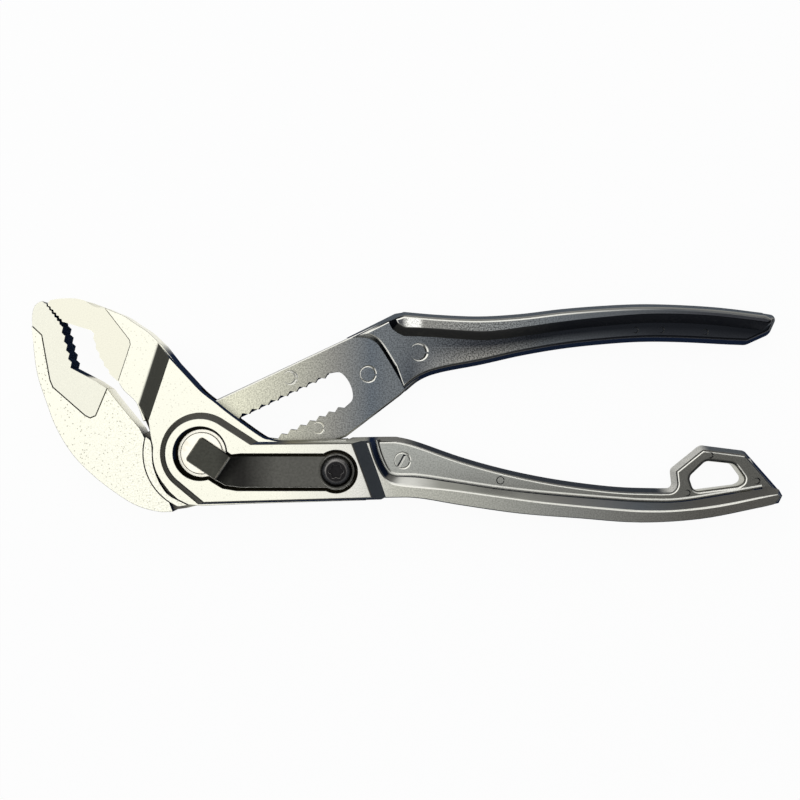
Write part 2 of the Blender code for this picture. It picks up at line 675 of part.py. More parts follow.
def upper_rim():
    """The thick rim along the back of the upper handle."""
    top = smooth(UPPER_TOP)[::-1]
    foot = [*smooth(RIM_NOSE), *smooth(RIM_FOOT)]
    low = [*foot, *RIM_TAIL, *top, RIM_SHOULDER]
    drafts = [0.0] * (len(foot) - 1) + [-DRAFT] * (len(low) - len(foot) + 1)
    inside = offset(low, drafts)
    slopes = [-RIM_SLOPE] * (len(foot) - 1) + [-DRAFT] * (len(low) - len(foot) + 1)
    high = offset(low, slopes)
    share = (WEB_FRONT - MIDDLE) / (RAIL - MIDDLE)
    between = [tuple(Vector(a).lerp(Vector(b), share)) for a, b in zip(low, inside)]
    return loft("rim", [(0, high), (WEB_BACK, between), (MIDDLE, low), (WEB_FRONT, between), (RAIL, high)])


def slotted_plate():
    """The flat bar that runs between the cheeks."""
    outline = along_slot([
        (PLATE_RIGHT, -PLATE_TAIL), *PLATE_SHOULDER, (-PLATE_LEFT, PLATE_NOSE - PLATE_BELOW),
        (-PLATE_LEFT, PLATE_ABOVE - PLATE_NOSE), (PLATE_NOSE - PLATE_LEFT, PLATE_ABOVE),
        (PLATE_RIGHT, PLATE_ABOVE),
    ])
    return prism("plate", outline[::-1], PLATE_BACK, PLATE_FRONT)


def lower_jaw_block():
    """The cast back of the lower jaw, round the cheeks on one side."""
    first, last = bearing(LOWER_BACK[-1]), bearing(LOWER_THROAT[0])
    step = arc((0, 0), JAW_STEP_RADIUS, first - JAW_STEP_BLEND, last + JAW_STEP_BLEND)
    seat = offset_line(LOWER_SEAT, SEAT_GAP)
    outline = [*smooth(LOWER_BACK, BACK_STEPS)[1:], *step, *LOWER_THROAT[:-1], *seat]
    return prism("jaw", outline, JAW_BACK, JAW_FRONT)


def lower_jaw_insert(parent):
    """Toothed steel jaw face keyed into the slotted handle."""
    pipe = teeth(divide(LOWER_FLANK[-1], LOWER_GRIP_HEEL, COARSE_TEETH), COARSE_TOOTH, COARSE_LEAN)
    grip = teeth(divide(LOWER_GRIP_HEEL, LOWER_GRIP_TIP, FINE_TEETH), FINE_TOOTH)
    outline = [*LOWER_FLANK[:-1], *pipe, *grip, LOWER_GRIP_TIP, *LOWER_TIP, *LOWER_SEAT[-2:0:-1]]
    item = prism("lower_jaw_insert", outline, JAW_BACK, JAW_FRONT)
    return finish(join(item, seat_key(LOWER_SEAT[3:5], 0)), (0.5, 0.49, 0.46), 0.4, 1.0, parent)


def pivot_bush(parent):
    """Flanged bush in the front cheek that the slotted handle turns with."""
    item = lathe("pivot_bush", [
        (BUSH_BORE, CHEEK_BACK), (BUSH_BARREL, CHEEK_BACK), (BUSH_BARREL, COUNTERBORE + SEAT_GAP),
        (BUSH_RADIUS, COUNTERBORE + SEAT_GAP), (BUSH_RADIUS, BUSH_FRONT - BUSH_CHAMFER),
        (BUSH_RADIUS - BUSH_CHAMFER, BUSH_FRONT), (BUSH_BORE, BUSH_FRONT),
    ])
    return finish(item, (0.5, 0.5, 0.48), 0.35, 1.0, parent)


def rear_bush(parent):
    """Plain bush in the back cheek that guides the pin's shank."""
    item = lathe("rear_bush", [
        (REAR_BUSH_BORE, THUMB_DISH), (REAR_BUSH_RADIUS, THUMB_DISH),
        (REAR_BUSH_RADIUS, BACK_CHEEK), (REAR_BUSH_BORE, BACK_CHEEK),
    ])
    return finish(item, (0.45, 0.42, 0.36), 0.4, 1.0, parent)


def locking_pin(parent):
    """Headed pin with splines for the slot's teeth, pushed from the back to free the slot."""
    waist = PLATE_FRONT - PIN_TRAVEL + SIDE_CLEARANCE
    item = lathe("locking_pin", [
        (0, PIN_INSET), (PIN_SHANK_RADIUS - PIN_CHAMFER, PIN_INSET),
        (PIN_SHANK_RADIUS, PIN_INSET + PIN_CHAMFER),
        (PIN_SHANK_RADIUS, waist), (PIN_RADIUS, waist), (PIN_RADIUS, HEAD_BACK),
        (PIN_HEAD_RADIUS, HEAD_BACK), (PIN_HEAD_RADIUS, HEAD_FRONT - PIN_CHAMFER),
        (PIN_HEAD_RADIUS - PIN_CHAMFER, HEAD_FRONT), (0, HEAD_FRONT),
    ])
    groove = PIN_RADIUS * math.sin(math.pi / PIN_SPLINES) / 2
    for k in range(PIN_SPLINES):
        turn = 360 * k / PIN_SPLINES
        root = PIN_RADIUS - PIN_SPLINE_DEPTH
        notch = along_slot([(root, 0), (BUSH_BORE, -groove), (BUSH_BORE, groove)], turn)
        cut(item, prism("notch", notch, waist - RUNNING_GAP, PLATE_FRONT))
    return finish(item, (0.5, 0.5, 0.48), 0.35, 1.0, parent)


def leaf_spring(parent):
    """Bent leaf that holds the pin in, screwed to the body at its round end."""
    ahead = Vector((math.cos(math.radians(LEAF_TIP_ANGLE)), math.sin(math.radians(LEAF_TIP_ANGLE))))
    flat = prism("leaf_spring", channel_outline(0), LEAF_BACK, LEAF_BACK + LEAF)
    work = bmesh.new()
    work.from_mesh(flat.data)
    bmesh.ops.triangulate(work, faces=work.faces)
    for step in range(RAMP_STEPS + 1):
        plane = -(LEAF_CREASE + LEAF_RAMP * step / RAMP_STEPS) * ahead
        bmesh.ops.bisect_plane(
            work, geom=[*work.verts, *work.edges, *work.faces],
            plane_co=(plane.x * MM, plane.y * MM, 0), plane_no=(ahead.x, ahead.y, 0), dist=1e-6)
    for vertex in work.verts:
        place = Vector((vertex.co.x, vertex.co.y)).dot(ahead) / MM + LEAF_CREASE
        rise = min(max(1 + place / LEAF_RAMP, 0), 1)
        vertex.co.z += LEAF_RISE * rise**2 * MM
    work.to_mesh(flat.data)
    work.free()
    hole = prism("hole", circle(SCREW_PLACE, SCREW_RADIUS + SEAT_GAP), UNDER, OVER)
    return finish(cut(flat, hole), (0.05, 0.05, 0.05), 0.35, 1.0, parent)


def spring_screw(parent):
    """Button head screw with a six-lobed socket."""
    top = SCREW_SEAT + SCREW_HEAD
    end = SCREW_SEAT - SCREW_LENGTH
    dome = [(SCREW_HEAD_RADIUS * r, SCREW_SEAT + SCREW_HEAD * z) for r, z in SCREW_DOME]
    item = lathe("spring_screw", [
        (0, end), (SCREW_RADIUS - SCREW_CHAMFER, end), (SCREW_RADIUS, end + SCREW_CHAMFER),
        (SCREW_RADIUS, SCREW_SEAT), (SCREW_HEAD_RADIUS, SCREW_SEAT), *dome, (0, top),
    ], SCREW_PLACE)
    ring = []
    for k in range(ROUND):
        turn = 2 * math.pi * k / ROUND
        radius = SCREW_SOCKET * (1 - SOCKET_RIPPLE + SOCKET_RIPPLE * math.cos(SOCKET_LOBES * turn))
        ring.append((SCREW_PLACE[0] + radius * math.cos(turn), SCREW_PLACE[1] + radius * math.sin(turn)))
    cut(item, prism("socket", ring, top - SCREW_SOCKET_DEPTH, OVER))
    return finish(item, (0.02, 0.02, 0.02), 0.3, 1.0, parent)


def thread_insert(parent):
    """Steel bush that takes the screw's thread in the casting."""
    item = lathe("thread_insert", [
        (INSERT_BORE, INSERT_BACK), (INSERT_RADIUS, INSERT_BACK),
        (INSERT_RADIUS, CHANNEL), (INSERT_BORE, CHANNEL),
    ], SCREW_PLACE)
    return finish(item, (0.45, 0.44, 0.42), 0.4, 1.0, parent)


def main():
    """Build the pliers round the pivot axis, with the middle of their outside at the origin."""
    clear_scene()
    across = [p[0] for p in lower_web_outline()] + [p[0] for p in LOWER_BACK]
    along = [p[1] for p in lower_web_outline()] + [p[1] for p in UPPER_TIP]
    pivot = bpy.data.objects.new("pivot_axis", None)
    bpy.context.scene.collection.objects.link(pivot)
    pivot.location = (-(min(across) + max(across)) / 2 * MM, -(min(along) + max(along)) / 2 * MM, 0)
    for build in (body_casting, upper_jaw_insert, rear_bush, thread_insert, leaf_spring, spring_screw,
                  pivot_bush, slotted_handle, lower_jaw_insert, locking_pin):
        build(pivot)
    print("pivot axis at", [round(v, 5) for v in pivot.location])


main()
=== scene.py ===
"""Looks of a pair of water pump pliers, laid out as a Blender add-on and run as a script.

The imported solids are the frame. Each visible piece is built again on the same outlines, with finer
curves, rounded edges and the marks of its making, and stands for the solid that it covers. Sizes in
the outlines are millimetres from the pivot axis (x, y) and from the back face (z).
"""
import json
import math

import bmesh
import bpy
from bpy.props import FloatProperty, FloatVectorProperty, PointerProperty
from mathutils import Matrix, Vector

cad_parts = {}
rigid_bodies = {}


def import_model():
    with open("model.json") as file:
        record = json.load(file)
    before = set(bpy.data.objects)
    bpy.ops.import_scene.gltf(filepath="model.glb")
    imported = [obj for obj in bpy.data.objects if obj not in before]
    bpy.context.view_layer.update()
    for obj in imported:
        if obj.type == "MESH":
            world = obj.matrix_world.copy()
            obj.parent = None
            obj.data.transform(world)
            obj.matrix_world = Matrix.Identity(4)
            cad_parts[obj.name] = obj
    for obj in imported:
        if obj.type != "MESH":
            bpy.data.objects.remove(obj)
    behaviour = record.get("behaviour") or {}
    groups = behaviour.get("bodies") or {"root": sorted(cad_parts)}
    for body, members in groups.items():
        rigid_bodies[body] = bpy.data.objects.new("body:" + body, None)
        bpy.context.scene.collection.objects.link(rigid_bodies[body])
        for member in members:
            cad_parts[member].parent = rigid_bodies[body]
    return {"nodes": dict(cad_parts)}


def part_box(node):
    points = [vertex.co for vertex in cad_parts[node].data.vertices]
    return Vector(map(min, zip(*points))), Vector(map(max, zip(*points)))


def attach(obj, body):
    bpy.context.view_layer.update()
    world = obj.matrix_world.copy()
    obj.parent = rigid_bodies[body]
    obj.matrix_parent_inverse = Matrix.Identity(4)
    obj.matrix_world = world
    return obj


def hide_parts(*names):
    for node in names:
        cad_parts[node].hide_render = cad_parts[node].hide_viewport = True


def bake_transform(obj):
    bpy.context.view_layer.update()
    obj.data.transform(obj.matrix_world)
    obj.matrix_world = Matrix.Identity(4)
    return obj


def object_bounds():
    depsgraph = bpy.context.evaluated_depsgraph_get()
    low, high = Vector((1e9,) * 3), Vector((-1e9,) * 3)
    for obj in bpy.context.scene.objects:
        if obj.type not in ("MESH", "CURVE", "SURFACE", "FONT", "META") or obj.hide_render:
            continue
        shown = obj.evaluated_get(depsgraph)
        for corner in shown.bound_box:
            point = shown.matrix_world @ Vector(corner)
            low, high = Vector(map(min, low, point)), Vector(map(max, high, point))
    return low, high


bl_info = {
    "name": "Water pump pliers",
    "version": (1, 0, 0),
    "blender": (4, 5, 0),
    "location": "3D View > Sidebar > Pliers",
    "description": "Dresses the packed solids of a pair of water pump pliers",
    "category": "Object",
}

for leftover in list(bpy.data.objects):
    bpy.data.objects.remove(leftover, do_unlink=True)
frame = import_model()
CAD_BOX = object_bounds()
PIVOT = sum(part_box("pivot_bush"), Vector()) / 2
MM = 0.001

# Layers of the joint, from the back to the front
BACK_CHEEK = 4.7
PLATE = 5.0
SIDE_CLEARANCE = 0.3
FRONT_CHEEK = 4.7
PLATEAU_RISE = 2.0
JAW = 11.0
RAIL_DROP = 1.0
WEB = 8.0
DRAFT = 1.5
CHEEK_DRAFT = 0.6

# Fits
SEAT_GAP = 0.3
RUNNING_GAP = 0.3
CHANNEL_GAP = 0.75

# Slot, locking pin and its bushes
SLOT_ANGLE = 25.1
SLOT_PITCH = 3.5
SLOT_TEETH = 14
SLOT_VALLEY = 6.4
SLOT_TOOTH = 1.1
SLOT_LEFT = 7.0
SLOT_END = [(0.6, -0.75), (0.8, 0.0), (0.6, 0.75)]
PLATE_ABOVE = 14.2
PLATE_BELOW = 15.4
OPEN_ANGLE = 24.0
SWING_MARGIN = 1.0
PIN_SPLINES = 9
PIN_SPLINE_DEPTH = 0.9
PIN_TRAVEL = 2.8
PIN_HEAD_RADIUS = 7.0
PIN_HEAD = 1.0
PIN_SHANK_RADIUS = 3.9
PIN_INSET = 0.8
PIN_CHAMFER = 0.5
BUSH_WALL = 1.3
BUSH_FLANGE = 0.8
BUSH_RING = 1.1
BUSH_CHAMFER = 0.3
COUNTERBORE_FLOOR = 1.4
COUNTERBORE_GAP = 0.8
THUMB_DISH_RADIUS = 9.5
THUMB_DISH = 1.4

# Leaf spring and its screw
SCREW_PLACE = (44.7, -5.9)
SCREW_RADIUS = 3.0
SCREW_HEAD_RADIUS = 5.25
SCREW_HEAD = 3.0
SCREW_LENGTH = 9.0
SCREW_CHAMFER = 0.5
SCREW_SOCKET = 2.4
SCREW_SOCKET_DEPTH = 1.6
SOCKET_LOBES = 6
SOCKET_RIPPLE = 0.13
INSERT_WALL = 1.3
LEAF = 0.8
LEAF_WIDTH = 10.6
LEAF_DROP = 0.2
LEAF_END_RADIUS = 6.3
LEAF_TIP_ANGLE = 146.0
LEAF_TIP_REACH = 3.2
LEAF_TIP_WIDTH = 9.4
LEAF_TIP_ROUND = 1.2
LEAF_CREASE = 8.7
LEAF_RAMP = 7.0
LEAF_RISE = 1.6
LEAF_UPPER_BEND = 3.0
LEAF_LOWER_BEND = (3.3, -2.0)
LEAF_LOWER_REACH = 8.2

# Jaw inserts
FINE_TEETH = 6
FINE_TOOTH = 0.45
COARSE_TEETH = 5
COARSE_TOOTH = 0.85
UPPER_TOOTH = 0.6
COARSE_LEAN = 0.56
KEY_NECK = 2.6
KEY_FOOT = 3.6
KEY_DEPTH = 3.0
KEY_ROOT = 1.0
KEY_HEIGHT = 5.0

# Worked out from the sizes above
PLATE_BACK = BACK_CHEEK + SIDE_CLEARANCE
PLATE_FRONT = PLATE_BACK + PLATE
CHEEK_BACK = PLATE_FRONT + SIDE_CLEARANCE
CHEEK_FRONT = CHEEK_BACK + FRONT_CHEEK
PLATEAU = CHEEK_FRONT + PLATEAU_RISE
MIDDLE = (PLATE_BACK + PLATE_FRONT) / 2
RAIL = CHEEK_FRONT - RAIL_DROP
JAW_BACK = MIDDLE - JAW / 2
JAW_FRONT = MIDDLE + JAW / 2
WEB_BACK = MIDDLE - WEB / 2
WEB_FRONT = MIDDLE + WEB / 2
SLOT_TIP = SLOT_VALLEY - SLOT_TOOTH
SLOT_RIGHT = SLOT_PITCH * SLOT_TEETH
PIN_RADIUS = SLOT_TIP - RUNNING_GAP
COUNTERBORE = CHEEK_BACK + COUNTERBORE_FLOOR
BUSH_BORE = PIN_RADIUS + RUNNING_GAP
BUSH_BARREL = BUSH_BORE + BUSH_WALL
BUSH_RADIUS = PIN_HEAD_RADIUS + BUSH_RING
BUSH_FRONT = COUNTERBORE + SEAT_GAP + BUSH_FLANGE
COUNTERBORE_RADIUS = BUSH_RADIUS + COUNTERBORE_GAP
HEAD_BACK = BUSH_FRONT + SEAT_GAP
HEAD_FRONT = HEAD_BACK + PIN_HEAD
TIP_BACK = HEAD_FRONT + SEAT_GAP
LEAF_BACK = TIP_BACK - LEAF_RISE
CHANNEL = LEAF_BACK - SEAT_GAP
SCREW_SEAT = LEAF_BACK + LEAF + SEAT_GAP
REAR_BUSH_BORE = PIN_SHANK_RADIUS + RUNNING_GAP
REAR_BUSH_RADIUS = REAR_BUSH_BORE + BUSH_WALL
INSERT_BORE = SCREW_RADIUS + SEAT_GAP
INSERT_RADIUS = INSERT_BORE + INSERT_WALL
INSERT_BACK = SCREW_SEAT - SCREW_LENGTH - SEAT_GAP
LEAF_WAY = Vector((math.cos(math.radians(LEAF_TIP_ANGLE)), math.sin(math.radians(LEAF_TIP_ANGLE))))

# Beyond every face of the tool, for cutters
OVER = PLATEAU + PLATE
UNDER = -SIDE_CLEARANCE
FAR = 90.0

# Lower handle: lines along it, from the joint to the end
LOWER_BOTTOM = [
    (40, -15.8), (62, -15.2), (72, -15.4), (86, -17.7), (105.6, -20.5), (125.5, -22.1),
    (145.5, -23.5), (165.4, -22.3), (183.7, -18.8), (189.5, -17.5),
]
LOWER_TOP = [
    (40, 4.9), (61, 5.3), (66, 5.0), (72.4, 3.3), (85.8, -1.4), (99.3, -5.2), (112.7, -8.1),
    (126.1, -10.2), (139.5, -11.6), (152.5, -12.0),
]
LOWER_RIDGE = [
    (62, -9.2), (66, -10.6), (82, -12.1), (99, -14.4), (115, -16.5), (138.4, -18.7),
    (148.4, -19.2), (158.3, -18.9), (171.5, -17.4), (187.4, -14.1),
]
LOWER_FOOT = [
    (64, -7.4), (72.4, -7.8), (85.7, -9.8), (99, -11.8), (115.6, -13.6), (138.9, -15.5),
    (148.9, -16.0), (158.8, -15.8), (172.1, -13.8), (189, -10.9),
]
PANEL_WALL = [(57.7, 4.2), (59.1, -0.7), (61.3, -5.4)]
PANEL_WALL_SLOPE = 2.1
RAIL_END = [(191.9, -17.0), (193.3, -14.2), (192.0, -11.9)]
RAIL_FACE_END = [(190.3, -16.0), (191.4, -14.6), (190.6, -13.5)]
RAIL_START = (40, 4.4)

# Lower handle: corners of the end loop and its hole, with their radii
LOOP = [
    (192.4, -17.0, 1.8), (193.7, -13.6, 2.4), (190.3, -9.7, 2.0), (181.2, 0.6, 2.6),
    (166.2, 2.5, 2.6), (156.2, -5.6, 2.0), (156.9, -11.9, 1.6),
]
LOOP_HOLE = [
    (162.0, -8.0, 2.2), (167.6, -2.7, 2.6), (177.0, -3.7, 3.0), (181.2, -9.4, 1.8),
    (178.2, -10.9, 1.6), (163.6, -12.8, 2.2),
]

# Slotted handle: lines along it, from the step at the plate to the end
UPPER_BOTTOM = [
    (67.4, 20.4), (72.4, 24.3), (79.1, 26.8), (92.6, 29.4), (106.0, 32.4), (119.4, 34.7),
    (132.8, 36.2), (146.3, 37.1), (159.7, 37.0), (176.0, 36.2),
]
UPPER_TOP = [
    (67.0, 47.2), (79.1, 46.2), (92.6, 45.7), (106.0, 46.5), (119.4, 48.1), (132.8, 49.2),
    (146.3, 49.8), (159.7, 49.5), (173.2, 48.6), (187.3, 46.9),
]
UPPER_END = [
    (181.6, 36.0, 4.0), (189.6, 39.6, 4.0), (192.4, 45.9, 1.8),
]
UPPER_SHOULDER = (64.0, 46.6, 3.0)
UPPER_STEP = [(47.6, 38.4), (53.2, 38.4), (56.5, 37.6), (58.9, 35.4), (62.7, 29.4), (66.5, 22.8)]
RIM_FOOT = [
    (67.0, 38.9), (75.7, 38.6), (85.7, 37.9), (95.6, 37.6), (108.9, 39.2), (118.9, 40.6),
    (132.2, 42.1), (148.9, 43.3), (165.5, 42.9), (178.8, 41.6), (187.5, 40.5),
]
RIM_NOSE = [(61.6, 44.6), (62.9, 41.6), (65.0, 39.8)]
RIM_TAIL = [(190.0, 42.4), (190.6, 45.0)]
RIM_SHOULDER = (63.4, 46.0)
RIM_SLOPE = 2.6
STEP_SLOPE = 1.1

# Body: the cheek's corners, its plateau and the jaw that it carries
CHEEK_ARC_RADIUS = 15.9
CHEEK_FLARE = 12.0
CHEEK_BLEND = 15.0
CHEEK_TOP = [(48.0, 4.4), (32.8, 4.0), (26.1, 3.9), (22.8, 4.5), (19.5, 5.7), (9.7, 12.7),
             (4.7, 16.7), (-0.2, 20.6), (-5.2, 25.9)]
CHEEK_BOTTOM = [(-10.3, -12.7), (-7.5, -15.2), (-4.0, -16.9), (0.5, -17.3), (15.9, -16.6),
                (53.5, -15.5)]
RAMP_TOP = [(-10.3, 31.4), (-17.2, 10.7), (-16.5, 6.0)]
RAMP_FOOT = [(-15.0, 37.2), (-21.4, 17.0), (-16.5, 6.0)]
RAMP_HOLLOW = 0.25
PLATEAU_RADIUS = 13.5
PLATEAU_BEVEL = 1.9
PLATEAU_UPPER = (19.0, 3.8)
PLATEAU_LOWER = (-0.9, -16.8)
PLATEAU_LIP = 0.7
PLATEAU_RIGHT = [(59.5, -15.2), (52.9, 4.1)]
PLATEAU_RIGHT_SLOPE = 3.1
UPPER_SEAT = [(-32.4, 48.1), (-24.2, 37.5), (-23.9, 36.1), (-27.9, 24.0)]
UPPER_KEY_EDGE = UPPER_SEAT[2:4]
UPPER_THROAT = [(-27.9, 24.0), (-25.7, 20.7), (-22.1, 17.3), (-20.7, 14.4), (-19.4, 10.6)]
UPPER_ROOT = [(-12.0, 14.0), (-4.0, 24.0)]
UPPER_BACK = [(-13.0, 35.6), (-17.8, 40.1), (-22.1, 43.0), (-26.2, 45.7), (-32.4, 48.1)]
UPPER_TIP = [(-32.4, 48.1), (-35.3, 49.2), (-39.6, 50.7), (-42.7, 51.2), (-47.0, 51.1),
             (-50.2, 50.6)]
UPPER_GRIP_TIP = (-50.9, 49.7)
UPPER_GRIP_HEEL = (-45.4, 43.5)
UPPER_CORNER = (-36.6, 40.8)
UPPER_PIPE = [(-35.5, 39.7), (-34.9, 36.2), (-33.8, 33.2), (-32.4, 30.4), (-30.8, 27.8),
              (-28.9, 25.3)]

# Slotted handle's jaw
LOWER_SEAT = [(-31.5, 21.5), (-35.3, 12.5), (-37.0, 11.8), (-38.7, 12.7), (-49.2, 21.9), (-50.2, 24.3),
              (-52.3, 35.8), (-52.9, 39.2), (-56.2, 42.3)]
LOWER_KEY_EDGE = LOWER_SEAT[3:5]
LOWER_BACK = [(-56.2, 42.3), (-55.5, 32.6), (-54.2, 25.0), (-51.5, 16.9), (-48.2, 8.3), (-42.6, -0.7),
              (-35.2, -8.1), (-26.9, -14.3), (-20.8, -17.7), (-14.2, -19.4), (-9.6, -19.4)]
LOWER_THROAT = [(-20.6, 8.2), (-26.2, 14.9), (-31.5, 21.5)]
LOWER_TIP = [(-52.9, 50.4), (-54.2, 49.9), (-55.5, 48.6), (-56.2, 45.9), (-56.2, 42.3)]
LOWER_FLANK = [(-31.5, 21.5), (-35.1, 23.9), (-43.5, 28.3)]
LOWER_GRIP_HEEL = (-47.1, 42.8)
LOWER_GRIP_TIP = (-52.2, 49.8)
JAW_STEP_RADIUS = 19.6
JAW_STEP_BLEND = 7.0
PLATE_LEFT = 23.0
PLATE_RIGHT = 76.0
PLATE_TAIL = 8.0
PLATE_NOSE = 7.0
PLATE_SHOULDER = [(67.7, -10.6), (50.1, -14.4), (45.4, -15.4)]

# Fineness of the curves, and how sharp an edge has to be to stay sharp
ARC_STEP = 4.0
CURVE_STEPS = 6
ROUND = 96
MARK_STEPS = ROUND // 3
RAMP_STEPS = 18
EDGE_STEPS = (90, 67.5, 45, 22.5, 0)
SHARP_ANGLE = math.radians(27)

# What counts as one point or line: millimetres and sine for outlines, metres and angle for meshes
SAME_POINT = 1e-5
SAME_WAY = 0.02
WELD = 1e-7
BEND_WELD = 1e-6
SEAM_WELD = 2e-6
SEAM_ANGLE = math.radians(0.01)

# The plate runs on between the lower jaw and the cheek, with a collar given by turn and radius
NECK = [
    (-19.0, -3.0), (-17.2, -9.6), (-9.8, -19.0), (-5.4, -18.4), (-0.5, -17.2), (4.0, -12.0),
    (-8.0, -6.0),
]
COLLAR_INSIDE = [
    (166, 17.7), (172, 16.9), (192, 16.75), (207, 16.95), (220, 17.4), (233, 17.8), (254, 17.9),
]
COLLAR_RADIUS = 19.3
COLLAR_START = 164
COLLAR_END = 246
COLLAR_DROP = 0.1

# Edge radii in millimetres, then the shares of one that certain edges and points have
HEAD_EDGE = 0.12
TOOTH_EDGE = 0.12
CREST_EDGE = 1.1
RAIL_EDGE = 0.45
LOOP_EDGE = 1.1
CUT_EDGE = 0.22
CUT_ROUND = CUT_EDGE / 4
SEAT_SHARE = 0.3
OUTER_SHARE = 0.5
CREST_SHARE = 0.35
CHAMFER_SHARE = 0.3

# Rails: draft of the outer side, height of the back face, and how far the web stays inside them
RAIL_DRAFT = 0.6
RAIL_BACK = 0.03
TUCK = 0.15
LOOP_OVERLAP = 1.0

# Bead and groove at the foot of the lower rail: height from the web, then both sides from the foot line
BEAD = [(-0.3, 0.0, 1.44), (0.28, 0.05, 0.35)]
BEAD_END = 186.5
GROOVE = [(-0.5, -0.2, -0.12), (0.4, -0.5, 0.08)]

# Slot: its teeth, and the bank behind the upper row, near and far, at the back face and at the front
TOOTH_ROOT = 0.3
TOOTH_APART = 0.02
FIRST_TOOTH = 1.5
BANK_LEAN = 0.35
BANK = [(SLOT_TIP, SLOT_VALLEY - BANK_LEAN), (SLOT_VALLEY, SLOT_VALLEY)]

# Ejector pin marks: place, face, radius and the lean in degrees that leaves a crescent
HANDLE_MARKS = [
    (55.0, 26.3, PLATE_FRONT, 2.8, 1.5), (28.8, 25.1, PLATE_FRONT, 2.3, 5.0),
    (38.3, 8.3, PLATE_FRONT, 2.0, 5.6), (71.9, 33.6, WEB_FRONT, 3.0, 4.0),
    (143.9, 40.9, WEB_FRONT, 1.0, 12.0), (152.5, 40.9, WEB_FRONT, 1.0, 12.0),
    (167.1, 40.2, WEB_FRONT, 1.0, 12.0),
]
BODY_MARKS = [
    (66.5, -2.5, WEB_FRONT, 2.8, 1.5), (99.1, -9.1, WEB_FRONT, 1.3, 0.0),
    (168.8, -0.7, WEB_FRONT, 1.0, 12.0), (184.4, -9.3, WEB_FRONT, 1.0, 12.0),
    (161.2, -13.3, WEB_FRONT, 1.0, 12.0),
]

# Groove of a mark in shares of its radius and depths, and the slash across one mark
MARK_GROOVE = [(0.58, 2.0), (0.94, -1.0), (1.3, 2.0)]
SLASH = [(65.0, -4.4), (65.5, -4.6), (67.5, -1.0), (67.0, -0.8)]
SLASH_LEVELS = [(-0.3, -0.2), (0.3, 0.8)]

# Facet on the upper insert: its outline on the face, and how it leans with depth
INSERT_FACET = [(-39.6, 50.9), (-35.6, 48.4), (-31.5, 47.9), (-35.3, 49.6)]
FACET_LEAN = (0.4, 1.2)
FACET_DEPTH = 0.7
FACET_OVER = 0.05

# Edge, curled crease and stamped ring of the leaf, and the profile of the screw's head
LEAF_EDGE = 0.39
LEAF_CURL = 0.3
LEAF_CURL_RUN = 0.45
RING_INNER = 5.4
RING_OUTER = 5.95
RING_RISE = 0.12
HEAD_PROFILE = [(1.0, 0.25), (0.97, 0.48), (0.88, 0.68), (0.76, 0.86), (0.66, 0.96), (0.56, 1.0)]

# Finish: the grit of the blasting is about 0.1 mm and is drawn coarser, so that it shows
GRAIN = 0.5
GRAIN_RELIEF = 0.05
GRAIN_SPAN = (0.4, 0.6)
GRAIN_TONES = (0.3, 1.7)
PIT = 1.1
PIT_SPAN = (0.1, 0.26)
PIT_FLOOR = "#4b4631"
MOTTLE_SPAN = (0.35, 0.65)
ROUGH_SPAN = (0.3, 0.7)
CAST_ROUGH = (-0.06, 0.08)
STEEL_ROUGH = (-0.05, 0.07)

# Finish of the turned pieces, in millimetres, where a wave texture repeats tau / (rate * scale) apart
TURNED_GROOVE = 0.4
TURNED_RELIEF = 0.01
TURNED_ROUGH = (0.26, 0.36)
WAVE_RATE = 20
STAIN = 3.0
STAIN_SPAN = (0.55, 0.75)
STAIN_SHARES = (0.0, 0.35)
STAIN_COLOUR = "#a58f63"

# Painted highlights on the leaf's cut edges and left-facing bends and on the screw's bends, then the
# drawn steel of the threaded insert
LEAF_HIGHLIGHT = "#b9b2a2"
SCREW_HIGHLIGHT = "#8d8a86"
DRAWN_STEEL = "#a9a69c"

# Where one face level's tone gives way to the next, each with painted highlight and shade along the tool:
# metres from the middle plane
LEVEL_LIMITS = [(0.003, 0.0034), (0.00515, 0.00535)]

# Where flats give way to painted highlight and shade on edges and slopes and to painted dark reflections
# on walls: upright share of the normal, in castings and then in steel
FLAT_LIMITS = (0.97, 0.998)
SLOPE_LIMITS = (0.86, 0.875)
STEEP_LIMITS = (0.7, 0.74)
WALL_LIMITS = (0.4, 0.55)
BEND_LIMITS = (0.93, 0.985)
EDGE_LIMITS = (0.5, 0.75)
LOWER_HIGHLIGHT_LIMITS = (0.95, 0.99)

# Which side of an edge or slope takes the painted highlight and which the painted shade: sideways share
# of the normal; and share of the way across the web, over which painted shade darkens it
LIT_LIMITS = (-0.06, 0.1)
LOWER_HIGHLIGHT_WAY = (-0.5, -0.3)
WEB_LIMITS = (0.05, 0.8)

# Where the side walls change their painted reflection and shade, in metres across the tool
HOLE_BAND = (PIVOT.y - 0.0134, PIVOT.y - 0.013)
TOP_BAND = (PIVOT.y - 0.0022, PIVOT.y - 0.0018)
JAW_BAND = (PIVOT.y + 0.0195, PIVOT.y + 0.02)
CROWN_BAND = (PIVOT.y + 0.0405, PIVOT.y + 0.041)

# Board, in millimetres
FLOOR_RADIUS = 900.0
FLOOR_DROP = -0.3
FLOOR_GLOW = 0.95
FLOOR_GRAIN = 2.5
FLOOR_RELIEF = 0.1

# Camera and lamps, in metres: each lamp's name, place, size and radiance, and the sky by a ray's height
CAMERA = (-0.00286, 0.00377, 0.428)
LENS = 56.35
LAMPS = [
    ("softbox", (-0.22, 0.2, 0.85), (1.45, 1.5), 1.0),
    ("strip box", (0.0, 0.95, 0.3), (1.8, 0.7), 0.6),
]
SKY = [(0.0, (0.05, 0.065, 0.09)), (0.4, (0.12, 0.13, 0.15)), (1.0, (0.3, 0.31, 0.32))]


